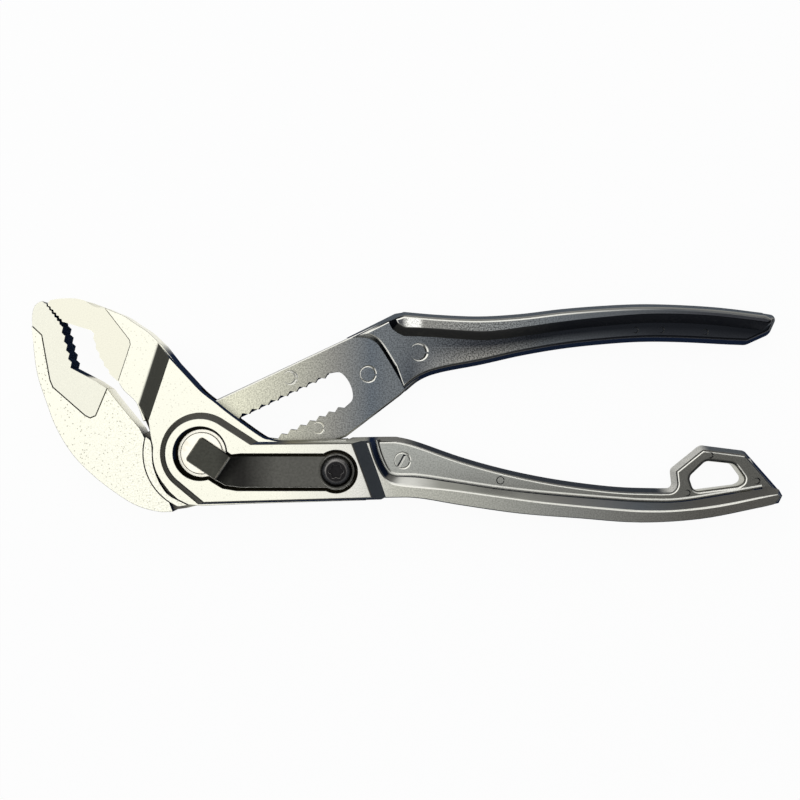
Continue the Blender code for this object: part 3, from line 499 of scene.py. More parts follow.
def smooth(points):
    """A curve through the points, ends included."""
    ring = [Vector(p) for p in points]
    ring = [2 * ring[0] - ring[1], *ring, 2 * ring[-1] - ring[-2]]
    out = []
    for before, start, end, after in zip(ring, ring[1:], ring[2:], ring[3:]):
        for k in range(CURVE_STEPS):
            t = k / CURVE_STEPS
            bend = (end - before) * t + (2 * before - 5 * start + 4 * end - after) * t**2
            out.append(start + 0.5 * (bend + (3 * start - before - 3 * end + after) * t**3))
    return [tuple(p) for p in out] + [tuple(points[-1])]


def bearing(point):
    """Direction of a point from the pivot axis, in degrees from 0 to 360."""
    return math.degrees(math.atan2(point[1], point[0])) % 360


def around(centre, radius, turns):
    """Points on a circle at turns in radians."""
    return [(centre[0] + radius * math.cos(a), centre[1] + radius * math.sin(a)) for a in turns]


def polar(radius, turn):
    """A point by its distance and direction, in degrees, from the pivot axis."""
    return around((0, 0), radius, [math.radians(turn)])[0]


def arc(centre, radius, start, end):
    """Points on an arc, in degrees, ends included."""
    count = max(2, math.ceil(abs(end - start) / ARC_STEP))
    turns = [math.radians(start + (end - start) * k / count) for k in range(count + 1)]
    return around(centre, radius, turns)


def circle(centre, radius):
    """Points round a circle."""
    return around(centre, radius, [2 * math.pi * k / ROUND for k in range(ROUND)])


def fillet(before, corner, after):
    """The points that round one corner off, given as x, y and radius."""
    here = Vector(corner[:2])
    back = (Vector(before[:2]) - here).normalized()
    ahead = (Vector(after[:2]) - here).normalized()
    half = back.angle(ahead) / 2
    reach = corner[2] / math.tan(half)
    centre = here + (back + ahead).normalized() * (corner[2] / math.sin(half))
    first = here + back * reach - centre
    turn = math.degrees((here + ahead * reach - centre).angle_signed(first))
    start = math.degrees(math.atan2(first.y, first.x))
    return arc(centre, corner[2], start, start + turn)


def rounded(corners, before, after):
    """The fillets of a chain of corners between two points."""
    chain = [before, *corners, after]
    points = []
    for k in range(1, len(chain) - 1):
        points += fillet(*chain[k - 1:k + 2])
    return points


def rounded_ring(corners):
    """A closed outline with every corner rounded."""
    return rounded(corners, corners[-1], corners[0])


def offset(outline, distances):
    """A closed outline, counter-clockwise, with each edge moved outwards by its distance.

    Edges that the move turns round are given up, shortest first, and their neighbours run on until
    they meet.
    """
    if isinstance(distances, (int, float)):
        distances = [distances] * len(outline)
    count = len(outline)
    points = [Vector(point) for point in outline]
    edges = [points[(k + 1) % count] - points[k] for k in range(count)]
    shifts = [Vector((edge.y, -edge.x)).normalized() * d for edge, d in zip(edges, distances)]
    kept = [edge.length > SAME_POINT for edge in edges]
    while True:
        moved = []
        for k in range(count):
            back, ahead = k - 1, k
            while not kept[back % count]:
                back -= 1
            while not kept[ahead % count]:
                ahead += 1
            back, ahead = back % count, ahead % count
            way, other_way = edges[back].normalized(), edges[ahead].normalized()
            cross = way.x * other_way.y - way.y * other_way.x
            if abs(cross) < SAME_WAY:
                moved.append(points[k] + (shifts[back] + shifts[ahead]) / 2)
                continue
            start = points[back] + shifts[back]
            gap = points[ahead] + shifts[ahead] - start
            moved.append(start + way * ((gap.x * other_way.y - gap.y * other_way.x) / cross))
        runs = [moved[(k + 1) % count] - moved[k] for k in range(count)]
        turned = [k for k in range(count) if kept[k] and edges[k].dot(runs[k]) < 0]
        if not turned:
            return [tuple(point) for point in moved]
        kept[min(turned, key=lambda k: edges[k].length)] = False


def offset_line(points, distance):
    """An open line moved to its left by a distance."""
    moved = []
    for k, point in enumerate(points):
        before = Vector(points[max(k - 1, 0)])
        after = Vector(points[min(k + 1, len(points) - 1)])
        here = Vector(point)
        sides = [(b - a).normalized() for a, b in ((before, here), (here, after)) if (b - a).length]
        lefts = [Vector((-s.y, s.x)) for s in sides]
        shift = sum(lefts, Vector((0, 0)))
        shift = shift * (distance * len(lefts) / shift.length_squared)
        moved.append(tuple(here + shift))
    return moved


def along_slot(points, angle=SLOT_ANGLE):
    """Points given along and across the slot, as x and y."""
    c, s = math.cos(math.radians(angle)), math.sin(math.radians(angle))
    return [(u * c - v * s, u * s + v * c) for u, v in points]


def divide(start, end, count):
    """Points that part a straight line into equal lengths, ends included."""
    return [tuple(Vector(start).lerp(Vector(end), k / count)) for k in range(count + 1)]


def teeth(valleys, height, lean=0.5):
    """A row of teeth between valleys, tips to the right of that way, without the last valley."""
    points = []
    for start, end in zip(valleys, valleys[1:]):
        step = Vector(end) - Vector(start)
        right = Vector((step.y, -step.x)).normalized()
        points += [start, tuple(Vector(start) + step * lean + right * height)]
    return points


def make(name, vertices, faces, origin=PIVOT):
    """A mesh object from vertices in millimetres about an origin."""
    mesh = bpy.data.meshes.new(name)
    mesh.from_pydata([(origin.x + x * MM, origin.y + y * MM, z * MM) for x, y, z in vertices], [], faces)
    work = bmesh.new()
    work.from_mesh(mesh)
    bmesh.ops.remove_doubles(work, verts=work.verts, dist=WELD)
    bmesh.ops.recalc_face_normals(work, faces=work.faces)
    work.to_mesh(mesh)
    work.free()
    item = bpy.data.objects.new(name, mesh)
    bpy.context.scene.collection.objects.link(item)
    return item


def loft(name, levels):
    """A closed solid through outlines of equal length, given as (z, outline)."""
    count = len(levels[0][1])
    vertices = [(x, y, z) for z, outline in levels for x, y in outline]
    faces = [list(range(count))[::-1]]
    for level in range(len(levels) - 1):
        low, high = level * count, (level + 1) * count
        for k in range(count):
            n = (k + 1) % count
            faces.append([low + k, low + n, high + n, high + k])
    faces.append([(len(levels) - 1) * count + k for k in range(count)])
    return make(name, vertices, faces)


def prism(name, outline, back, front):
    """A closed solid of one outline between two heights."""
    return loft(name, [(back, outline), (front, outline)])


def lathe(name, profile, centre=(0, 0)):
    """A closed solid turned about Z from (radius, z) points, as a ring or down to the axis."""
    vertices, faces, rings = [], [], []
    for radius, z in profile:
        start = len(vertices)
        if radius:
            vertices += [(x, y, z) for x, y in circle(centre, radius)]
            rings.append([start + k for k in range(ROUND)])
        else:
            vertices.append((*centre, z))
            rings.append([start] * ROUND)
    closed = rings if profile[0][0] == 0 else [*rings, rings[0]]
    for low, high in zip(closed, closed[1:]):
        for k in range(ROUND):
            n = (k + 1) % ROUND
            corners = [low[k], low[n], high[n], high[k]]
            faces.append(list(dict.fromkeys(corners)))
    return make(name, vertices, [f for f in faces if len(f) > 2])


def turned_edge(radius, face, lip, way):
    """Profile points of a turned outer edge, rounded by a lip, on the front (1) or back (-1) face."""
    part = lip * CHAMFER_SHARE
    return [(radius, face - way * lip), (radius - part, face - way * part), (radius - lip, face)]


def bore(name, radius, back, front, centre=(0, 0)):
    """A round plug to cut a bore with."""
    return lathe(name, [(0, back), (radius, back), (radius, front), (0, front)], centre)


def settle(item, tool):
    """Take what an object's modifiers make as its mesh, and remove the object that they used."""
    ready = item.evaluated_get(bpy.context.evaluated_depsgraph_get())
    mesh = bpy.data.meshes.new_from_object(ready)
    item.modifiers.clear()
    item.data = mesh
    bpy.data.objects.remove(tool, do_unlink=True)
    return item


def combine(target, tools, operation):
    """Join solids to the target, or cut them from it, and remove them."""
    for tool in tools:
        step = target.modifiers.new("step", "BOOLEAN")
        step.operation = operation
        step.solver = "EXACT"
        step.object = tool
        settle(target, tool)
    return target


def join(target, *tools):
    """Fuse solids into the target."""
    return combine(target, tools, "UNION")


def cut(target, *tools):
    """Cut solids out of the target."""
    return combine(target, tools, "DIFFERENCE")


def between(first, last, share):
    """The outline a share of the way from one outline to another."""
    return [tuple(Vector(a).lerp(Vector(b), share)) for a, b in zip(first, last)]


def rolled(z, back, front, radius):
    """How far a rounded edge is set in at a height between two faces."""
    depth = radius - min(z - back, front - z)
    return radius - math.sqrt(max(radius**2 - depth**2, 0)) if depth > 0 else 0.0


def solid(name, back, front, radius, outline_at, middle=(), shares=None):
    """A closed solid whose outline follows the height, with its edges rounded at both faces."""
    near = [radius * (1 - math.sin(math.radians(turn))) for turn in EDGE_STEPS]
    rises = sorted({back + d for d in near} | {front - d for d in near} | set(middle))
    levels = []
    for z in rises:
        outline = outline_at(z)
        depth = rolled(z, back, front, radius)
        edges = shares or [1.0] * len(outline)
        levels.append((z, offset(outline, [-depth * share for share in edges])))
    return loft(name, levels)


def flared(name, outline_at, back, front, radius):
    """A cutter that widens towards a front face, so that the edge it leaves is rounded."""
    near = [radius * (1 - math.sin(math.radians(turn))) for turn in EDGE_STEPS[::-1]]
    levels = [(back, outline_at(0))]
    levels += [(front - d, outline_at(rolled(front - d, back - FAR, front, radius))) for d in near]
    return loft(name, [*levels, (front + radius, outline_at(radius))])


def tidy(item):
    """Merge the boolean seams that carry no shape."""
    work = bmesh.new()
    work.from_mesh(item.data)
    bmesh.ops.remove_doubles(work, verts=work.verts, dist=SEAM_WELD)
    bmesh.ops.dissolve_degenerate(work, edges=work.edges, dist=SEAM_WELD)
    bmesh.ops.dissolve_limit(
        work, angle_limit=SEAM_ANGLE, verts=work.verts, edges=work.edges, delimit={"SHARP"})
    bmesh.ops.recalc_face_normals(work, faces=work.faces)
    work.to_mesh(item.data)
    work.free()


def shade(item, material):
    """Give a finished piece its material and normals that keep its flats flat."""
    tidy(item)
    item.data.name = item.name
    item.data.materials.clear()
    item.data.materials.append(material)
    item.data.polygons.foreach_set("use_smooth", [True] * len(item.data.polygons))
    item.data.set_sharp_from_angle(angle=SHARP_ANGLE)
    weighted = item.modifiers.new("flat faces stay flat", "WEIGHTED_NORMAL")
    weighted.keep_sharp = True
    return item


def stand_for(item, node, body):
    """Set a piece on its body in place of a solid."""
    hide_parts(node)
    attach(item, body)


def repeating_tree():
    """Node tree that sets one shape at many points, turned and sized by the points' attributes."""
    tree = bpy.data.node_groups.new("shape at points", "GeometryNodeTree")
    sockets = [("Geometry", "INPUT", "NodeSocketGeometry"), ("Shape", "INPUT", "NodeSocketObject"),
               ("Width", "INPUT", "NodeSocketFloat"), ("Depth", "INPUT", "NodeSocketFloat"),
               ("Material", "INPUT", "NodeSocketMaterial"), ("Geometry", "OUTPUT", "NodeSocketGeometry")]
    for name, way, kind in sockets:
        tree.interface.new_socket(name, in_out=way, socket_type=kind)
    start = add(tree, "NodeGroupInput").outputs
    shape = add(tree, "GeometryNodeObjectInfo", {"Object": start["Shape"]})
    size = add(tree, "GeometryNodeInputNamedAttribute", {"Name": "size"}, data_type="FLOAT")
    turn = add(tree, "GeometryNodeInputNamedAttribute", {"Name": "turn"}, data_type="FLOAT_VECTOR")
    width = worked(tree, "MULTIPLY", size.outputs["Attribute"], start["Width"])
    scale = add(tree, "ShaderNodeCombineXYZ", {0: width, 1: width, 2: start["Depth"]})
    points = add(tree, "GeometryNodeInstanceOnPoints", {
        "Points": start["Geometry"], "Instance": shape.outputs["Geometry"],
        "Rotation": turn.outputs["Attribute"], "Scale": scale.outputs[0]})
    real = add(tree, "GeometryNodeRealizeInstances", {"Geometry": points.outputs["Instances"]})
    faced = add(tree, "GeometryNodeSetMaterial", {
        "Geometry": real.outputs[0], "Material": start["Material"]})
    add(tree, "NodeGroupOutput", {"Geometry": faced.outputs[0]})
    return tree


def repeat(name, shape, places, material, width=1.0, depth=1.0):
    """One mesh of a shape at many places, which uses the shape up.

    Each place is x, y, z, size, lean and turn, in millimetres and degrees.
    """
    item = make(name, [place[:3] for place in places], [])
    sizes = item.data.attributes.new("size", "FLOAT", "POINT")
    sizes.data.foreach_set("value", [place[3] for place in places])
    turns = item.data.attributes.new("turn", "FLOAT_VECTOR", "POINT")
    angles = [(0.0, math.radians(place[4]), math.radians(place[5])) for place in places]
    turns.data.foreach_set("vector", [angle for place in angles for angle in place])
    tree = bpy.data.node_groups.get("shape at points") or repeating_tree()
    values = {"Shape": shape, "Width": width, "Depth": depth, "Material": material}
    row = item.modifiers.new("row", "NODES")
    row.node_group = tree
    for socket in tree.interface.items_tree:
        if socket.in_out == "INPUT" and socket.name in values:
            row[socket.identifier] = values[socket.name]
    return settle(item, shape)


def marks(name, places, depth, material):
    """Shallow open rings that ejector pins leave in a casting's face, as a cutter."""
    count, sides = MARK_STEPS, len(MARK_GROOVE)
    vertices = []
    for k in range(count):
        turn = 2 * math.pi * k / count
        vertices += [(r * math.cos(turn) / MM, r * math.sin(turn) / MM, z / MM) for r, z in MARK_GROOVE]
    faces = [list(range(sides)), [(count - 1) * sides + k for k in range(sides)][::-1]]
    for k in range((count - 1) * sides):
        n = k + 1 if (k + 1) % sides else k + 1 - sides
        faces.append([k, n, n + sides, k + sides])
    shape = make("ring", vertices, faces, Vector())
    spots = [(x, y, z, radius * MM, lean, 0.0) for x, y, z, radius, lean in places]
    return repeat(name, shape, spots, material, depth=depth)


def seat_key(edge, gap):
    """A dovetail standing on one edge of a seat line, towards the casting on its left."""
    start, end = Vector(edge[0]), Vector(edge[1])
    ahead = (end - start).normalized()
    left = Vector((-ahead.y, ahead.x))
    middle = (start + end) / 2
    half_key = [(KEY_NECK, -KEY_ROOT), (KEY_NECK, 0), (KEY_FOOT, KEY_DEPTH)]
    corners = offset([*half_key, *[(-a, b) for a, b in half_key[::-1]]], gap)
    outline = [tuple(middle + ahead * a + left * b) for a, b in corners]
    half = KEY_HEIGHT / 2 + gap
    return prism("key", outline, MIDDLE - half, MIDDLE + half)


def lower_web_outline(bottom):
    """Outside of the lower handle's web at its parting plane, with the loop at its end."""
    top = smooth(LOWER_TOP)[::-1]
    return bottom + rounded(LOOP, bottom[-1], top[0]) + top


def cheek_outline(ramp):
    """Outside of the body's cheeks, with the given edge towards the jaw."""
    first, last = bearing(ramp[-1]), bearing(CHEEK_BOTTOM[0])
    left = arc((0, 0), CHEEK_ARC_RADIUS, first + CHEEK_FLARE, last - CHEEK_BLEND)
    return [*left, *CHEEK_BOTTOM, *smooth(CHEEK_TOP), *ramp]


def plateau_outline(radius, lip, right):
    """Outside of the raised plateau: round about the pin, then the width of the handle."""
    turns, ends = [], []
    for place, side in ((PLATEAU_UPPER, 1), (PLATEAU_LOWER, -1)):
        lean = math.degrees(math.acos(PLATEAU_RADIUS / math.hypot(*place)))
        turn = math.degrees(math.atan2(place[1], place[0])) + side * lean
        start, foot = polar(radius, turn), polar(PLATEAU_RADIUS, turn)
        ends.append(meet(start, Vector(place) - Vector(foot), place[1] - side * lip))
        turns.append(turn)
    left = arc((0, 0), radius, turns[0], turns[1] + 360)
    corners = [(right[0][0], right[0][1] + lip), (right[1][0], right[1][1] - lip)]
    return [ends[0], *left, ends[1], *corners]


def meet(start, direction, height):
    """Where a line from start reaches a height."""
    return (start[0] + direction[0] * (height - start[1]) / direction[1], height)


def passage_outline():
    """The gap between the cheeks that the slotted plate turns and slides through."""
    above, below = PLATE_ABOVE + SIDE_CLEARANCE, PLATE_BELOW + SIDE_CLEARANCE
    closed, opened = SLOT_ANGLE - SWING_MARGIN, SLOT_ANGLE + OPEN_ANGLE + SWING_MARGIN
    half = math.radians(opened - closed) / 2
    corners = [(0, above / math.cos(half)), (0, -below / math.cos(half))]
    upper, lower = along_slot(corners, (opened + closed) / 2)
    return [
        *along_slot([(FAR, above)], opened), upper, *along_slot([(-FAR, above)], closed),
        *along_slot([(-FAR, -below)], opened), lower, *along_slot([(FAR, -below)], closed),
    ]


def channel_outline(gap):
    """Outside of the leaf spring in plan, grown by a gap: the tip, then the strip and its round end."""
    across = Vector((-LEAF_WAY.y, LEAF_WAY.x))
    half = LEAF_TIP_WIDTH / 2 + gap
    tip = LEAF_WAY * (LEAF_TIP_REACH + gap)
    crease = -LEAF_WAY * LEAF_CREASE
    upper, lower = tuple(crease - across * half), tuple(crease + across * half)
    corners = [(*(tip + across * side), LEAF_TIP_ROUND + gap) for side in (-half, half)]
    y = SCREW_PLACE[1]
    strip = LEAF_WIDTH / 2 + gap
    round_end = LEAF_END_RADIUS + gap
    first = math.degrees(math.asin((-LEAF_DROP - strip) / round_end))
    last = math.degrees(math.asin((strip - LEAF_DROP) / round_end))
    end = arc(SCREW_PLACE, round_end, -180 - first, 180 - last)
    bend_upper = (upper[0] + LEAF_UPPER_BEND, y - LEAF_DROP + strip)
    bend = tuple(Vector(lower) + Vector(LEAF_LOWER_BEND))
    bend_lower = (lower[0] + LEAF_LOWER_REACH, y - LEAF_DROP - strip)
    return [lower, bend, bend_lower, *end, bend_upper, upper, *rounded(corners, upper, lower)]


def ramp_height(share):
    """Height of the jaw's ramp at a share of its run: a short hollow, then a straight slope."""
    if share < RAMP_HOLLOW:
        return share**2 / (2 * RAMP_HOLLOW) / (1 - RAMP_HOLLOW / 2)
    return (share - RAMP_HOLLOW / 2) / (1 - RAMP_HOLLOW / 2)


def ramp_share(height):
    """Share of the jaw's ramp at a height, the other way round from ramp_height."""
    straight = height * (1 - RAMP_HOLLOW / 2)
    if straight < RAMP_HOLLOW / 2:
        return math.sqrt(2 * RAMP_HOLLOW * straight)
    return straight + RAMP_HOLLOW / 2


def cheeks(edge):
    """Both cheeks as one block, with the hollow ramp down to the jaw's face on each side."""
    high, low = cheek_outline(RAMP_TOP), cheek_outline(RAMP_FOOT)
    ramp = len(RAMP_FOOT)
    wide = offset(low, [CHEEK_DRAFT] * (len(low) - ramp) + [0.0] * ramp)
    half = JAW / 2

    def outline(z):
        away = abs(z - MIDDLE)
        if away <= half:
            return between(wide, low, away / half)
        return between(low, high, ramp_share((away - half) / (CHEEK_FRONT - JAW_FRONT)))

    rise = [ramp_height(k / RAMP_STEPS) * (CHEEK_FRONT - JAW_FRONT) for k in range(RAMP_STEPS)]
    middle = [MIDDLE, *[JAW_FRONT + r for r in rise], *[JAW_BACK - r for r in rise]]
    middle = [z for z in middle if edge < z < CHEEK_FRONT - edge]
    shares = [1.0] * (len(low) - ramp) + [0.0] * ramp
    return solid("cast_body", 0, CHEEK_FRONT, edge, outline, middle, shares)


def jaw_back(curves, seat_line, edge):
    """The cast back of a jaw: curves that stop short of the seat, and the seat set back by its gap."""
    seat = offset_line(seat_line, SEAT_GAP)
    outline = [*curves, *seat]
    shares = [1.0] * len(curves) + [SEAT_SHARE] * len(seat)
    return solid("jaw", JAW_BACK, JAW_FRONT, edge, lambda z: outline, (), shares)


def upper_jaw_back(edge):
    """The cast back of the upper jaw, up to the seat of its insert."""
    curves = [*smooth(UPPER_THROAT)[2:], *UPPER_ROOT, *smooth(UPPER_BACK)[:-2]]
    return jaw_back(curves, UPPER_SEAT, edge)


def plateau(edge):
    """The raised land round the pin and under the leaf, with bevels that go on below the rail's face."""
    deep = (CHEEK_FRONT - RAIL) * 2
    run = PLATEAU_RIGHT_SLOPE * deep / PLATEAU_RISE
    back = CHEEK_FRONT - deep
    corner, upper = PLATEAU_RIGHT
    low_right = [(corner[0] + run, corner[1] + DRAFT), (upper[0] + run, upper[1])]
    top_right = [(x - PLATEAU_RIGHT_SLOPE, y) for x, y in PLATEAU_RIGHT]
    low = plateau_outline(PLATEAU_RADIUS, 0, low_right)
    foot = plateau_outline(PLATEAU_RADIUS, 0, PLATEAU_RIGHT)
    top = plateau_outline(PLATEAU_RADIUS - PLATEAU_BEVEL, PLATEAU_LIP, top_right)

    def outline(z):
        if z < CHEEK_FRONT:
            return between(low, foot, (z - back) / (CHEEK_FRONT - back))
        return between(foot, top, (z - CHEEK_FRONT) / PLATEAU_RISE)

    return solid("plateau", back, PLATEAU, edge / 2, outline, [CHEEK_FRONT])


def drafted(low, inset, high):
    """Outline of a rail at each height: drafted up to the web's faces, then sloped to its own."""
    deep, tall = WEB_FRONT - MIDDLE, RAIL - MIDDLE

    def outline(z):
        away = abs(z - MIDDLE)
        if away <= deep:
            return between(low, inset, away / tall)
        face = tall if z > MIDDLE else MIDDLE
        return between(between(low, inset, deep / tall), high, (away - deep) / (face - deep))

    return outline


def lower_handle(edge):
    """The web and rail of the lower handle, with the hole in its end loop."""
    bottom = smooth(LOWER_BOTTOM)
    outside = lower_web_outline(offset_line(bottom, TUCK))
    face = offset(outside, -DRAFT)
    web = solid("web", WEB_BACK, WEB_FRONT, edge,
                lambda z: between(outside, face, abs(z - MIDDLE) / (WEB / 2)), [MIDDLE])
    hole = rounded_ring(LOOP_HOLE)[::-1]
    start = MIDDLE - LOOP_OVERLAP
    for behind in (False, True):
        cutter = flared("hole", lambda grown: offset(hole, grown), start, WEB_FRONT, LOOP_EDGE)
        if behind:
            for vertex in cutter.data.vertices:
                vertex.co.z = 2 * MIDDLE * MM - vertex.co.z
            cutter.data.flip_normals()
        cut(web, cutter)
    foot = smooth([*PANEL_WALL, *LOWER_FOOT])
    ridge = smooth([*offset_line(PANEL_WALL, -PANEL_WALL_SLOPE), *LOWER_RIDGE])
    low = [*bottom, *RAIL_END, *foot[::-1], RAIL_START]
    outer = len(bottom) + len(RAIL_END)
    inset = offset(low, [-RAIL_DRAFT] * outer + [0.0] * (len(low) - outer))
    high = [*inset[:len(bottom)], *RAIL_FACE_END, *ridge[::-1], RAIL_START]
    rail = solid("rail", RAIL_BACK, RAIL, RAIL_EDGE, drafted(low, inset, high),
                 [WEB_BACK, MIDDLE, WEB_FRONT],
                 [OUTER_SHARE] * outer + [1.0] * (len(low) - outer - 1) + [0.0])
    line = [point for point in foot if point[0] < BEAD_END]
    bead, groove = [
        loft("foot", [(WEB_FRONT + rise, offset_line(line, near) + offset_line(line, far)[::-1])
                      for rise, near, far in levels]) for levels in (BEAD, GROOVE)]
    return cut(join(web, rail, bead), groove)


def cast_body(sizes, material):
    """Upper jaw, both cheeks and the lower handle, cast in one piece."""
    edge = sizes.edge / MM
    body = join(cheeks(HEAD_EDGE), upper_jaw_back(HEAD_EDGE), plateau(edge), lower_handle(edge))
    wide = COUNTERBORE_RADIUS + CUT_EDGE
    slash = loft("slash", [(WEB_FRONT + rise, offset(SLASH, grown)) for rise, grown in SLASH_LEVELS])
    cut(
        body,
        prism("passage", passage_outline(), BACK_CHEEK, CHEEK_BACK),
        flared("channel", lambda grown: channel_outline(CHANNEL_GAP + grown), CHANNEL, PLATEAU, CUT_EDGE),
        lathe("counterbore", [
            (0, COUNTERBORE), (COUNTERBORE_RADIUS, COUNTERBORE), (COUNTERBORE_RADIUS, PLATEAU - CUT_EDGE),
            (COUNTERBORE_RADIUS + CUT_ROUND, PLATEAU - CUT_ROUND), (wide, PLATEAU), (wide, OVER),
            (0, OVER)]),
        bore("bush bore", BUSH_BARREL + SEAT_GAP, MIDDLE, OVER),
        bore("rear bore", REAR_BUSH_RADIUS + SEAT_GAP, UNDER, MIDDLE),
        bore("insert bore", INSERT_RADIUS + SEAT_GAP, INSERT_BACK - SEAT_GAP, OVER, SCREW_PLACE),
        lathe("thumb dish", [(0, UNDER), (THUMB_DISH_RADIUS - UNDER, UNDER),
                             (THUMB_DISH_RADIUS - THUMB_DISH, THUMB_DISH), (0, THUMB_DISH)]),
        seat_key(UPPER_KEY_EDGE, SEAT_GAP),
        marks("body marks", BODY_MARKS, sizes.mark_depth, material),
        slash,
    )
    return shade(body, material)


def upper_rim():
    """The thick rim along the back of the upper handle."""
    top = smooth(UPPER_TOP)[::-1]
    foot = [*smooth(RIM_NOSE), *smooth(RIM_FOOT)]
    low = [*foot, *RIM_TAIL, *top, RIM_SHOULDER]
    inner = len(foot) - 1
    inset = offset(low, [0.0] * inner + [-DRAFT] * (len(low) - inner))
    high = offset(low, [-RIM_SLOPE] * inner + [-DRAFT] * (len(low) - inner))
    shares = [CREST_SHARE] * inner + [1.0] * (len(low) - inner)
    return solid("rim", RAIL_BACK, RAIL, CREST_EDGE, drafted(low, inset, high),
                 [WEB_BACK, MIDDLE, WEB_FRONT], shares)


def upper_web(edge):
    """The web of the upper handle, stepped where it meets the plate."""
    bottom, top = smooth(UPPER_BOTTOM), offset_line(smooth(UPPER_TOP)[::-1], TUCK)
    end = rounded(UPPER_END, bottom[-1], top[0])
    shoulder = rounded([UPPER_SHOULDER], top[-1], UPPER_STEP[0])
    step = smooth(UPPER_STEP)
    outside = [*bottom, *end, *top, *shoulder, *step]
    plain = len(outside) - len(step)
    low, deep = PLATE / WEB, WEB / 2

    def outline(z):
        share = abs(z - MIDDLE) / deep
        sloped = max(share - low, 0) / (1 - low)
        moves = [-DRAFT * share] * plain + [-STEP_SLOPE * sloped] * (len(step) - 1)
        return offset(outside, [*moves, 0.0])

    middle = [PLATE_BACK, MIDDLE, PLATE_FRONT]
    return solid("cast_slotted_handle", WEB_BACK, WEB_FRONT, edge, outline, middle)


def slotted_plate(edge):
    """The flat bar that runs between the cheeks."""
    outline = along_slot([
        (PLATE_RIGHT, -PLATE_TAIL), *PLATE_SHOULDER, (-PLATE_LEFT, PLATE_NOSE - PLATE_BELOW),
        (-PLATE_LEFT, PLATE_ABOVE - PLATE_NOSE), (PLATE_NOSE - PLATE_LEFT, PLATE_ABOVE),
        (PLATE_RIGHT, PLATE_ABOVE),
    ])[::-1]
    return solid("plate", PLATE_BACK, PLATE_FRONT, edge, lambda z: outline)


def lower_jaw_back(edge):
    """The cast back of the lower jaw, round the cheeks on one side."""
    first, last = bearing(LOWER_BACK[-1]), bearing(LOWER_THROAT[0])
    step = arc((0, 0), JAW_STEP_RADIUS, first - JAW_STEP_BLEND, last + JAW_STEP_BLEND)
    curves = [*smooth(LOWER_BACK)[3:], *step, *smooth(LOWER_THROAT)[:-2]]
    return jaw_back(curves, LOWER_SEAT, edge)


def collar_outline():
    """The strip between the lower jaw and the cheek, clear of the cheek through the whole swing."""
    inner = smooth([polar(radius, turn) for turn, radius in COLLAR_INSIDE])
    return [*inner, *arc((0, 0), COLLAR_RADIUS, COLLAR_END, COLLAR_START)]


def slot_teeth(material):
    """Both rows of teeth in the adjusting slot."""
    half = SLOT_PITCH / 2 - TOOTH_APART
    outline = [(-half, -TOOTH_ROOT), (half, -TOOTH_ROOT), (half, 0), (0, SLOT_TOOTH), (-half, 0)]
    vertices = [(x, y, z) for z in (-PLATE / 2, PLATE / 2) for x, y in outline]
    count = len(outline)
    sides = [[k, (k + 1) % count, count + (k + 1) % count, count + k] for k in range(count)]
    ends = [list(range(count))[::-1], [count + k for k in range(count)]]
    shape = make("tooth", vertices, [*ends, *sides], Vector())
    runs = [(k + FIRST_TOOTH) * SLOT_PITCH for k in range(SLOT_TEETH - 1)]
    places = []
    for across, turn in ((SLOT_VALLEY, SLOT_ANGLE + 180), (-SLOT_VALLEY, SLOT_ANGLE)):
        for x, y in along_slot([(run, across) for run in runs]):
            places.append((x, y, MIDDLE, 1.0, 0.0, turn))
    return repeat("slot teeth", shape, places, material)


def slot_bank():
    """The wall behind the slot's upper teeth, which leans into the slot towards the back."""
    start, end, top = SLOT_PITCH, SLOT_RIGHT, SLOT_VALLEY + TOOTH_ROOT
    levels = []
    for z, (near, far) in zip((PLATE_BACK, PLATE_FRONT), BANK):
        levels.append((z, along_slot([(start, near), (end, far), (end, top), (start, top)])))
    return loft("bank", levels)


def cast_slotted_handle(sizes, material):
    """Lower jaw, slotted plate and upper handle, cast in one piece."""
    edge = sizes.edge / MM
    neck = prism("neck", NECK, PLATE_BACK, PLATE_FRONT)
    collar = prism("collar", collar_outline(), JAW_BACK + COLLAR_DROP, JAW_FRONT - COLLAR_DROP)
    jaw = lower_jaw_back(HEAD_EDGE)
    item = join(upper_web(edge), upper_rim(), slotted_plate(edge), neck, collar, jaw)
    half = SLOT_VALLEY / 2
    end = [(SLOT_RIGHT + u * SLOT_VALLEY, v * SLOT_VALLEY) for u, v in SLOT_END]
    far = smooth([(SLOT_RIGHT, -SLOT_VALLEY), *end, (SLOT_RIGHT, SLOT_VALLEY)])
    near = [(0, SLOT_VALLEY), (-SLOT_LEFT, half), (-SLOT_LEFT, -half), (0, -SLOT_VALLEY)]
    slot = along_slot([*far, *near])
    cut(item, prism("slot", slot, UNDER, OVER), seat_key(LOWER_KEY_EDGE, SEAT_GAP))
    join(item, slot_teeth(material), slot_bank())
    cut(item, marks("handle marks", HANDLE_MARKS, sizes.mark_depth, material))
    return shade(item, material)


def upper_insert(material):
    """Toothed steel face of the upper jaw, keyed into the body."""
    grip = teeth(divide(UPPER_GRIP_TIP, UPPER_GRIP_HEEL, FINE_TEETH), FINE_TOOTH)
    pipe = teeth(UPPER_PIPE, UPPER_TOOTH, 1 - COARSE_LEAN)
    back = smooth(UPPER_TIP)[1:]
    outline = [*back, *grip, UPPER_GRIP_HEEL, UPPER_CORNER, *pipe, *UPPER_SEAT[::-1]][::-1]
    item = solid("upper_insert", JAW_BACK, JAW_FRONT, TOOTH_EDGE, lambda z: outline)
    join(item, seat_key(UPPER_KEY_EDGE, 0))
    low = [tuple(Vector(p) + Vector(FACET_LEAN)) for p in INSERT_FACET]
    cut(item, loft("facet", [(JAW_FRONT - FACET_DEPTH, low), (JAW_FRONT + FACET_OVER, INSERT_FACET)]))
    return shade(item, material)


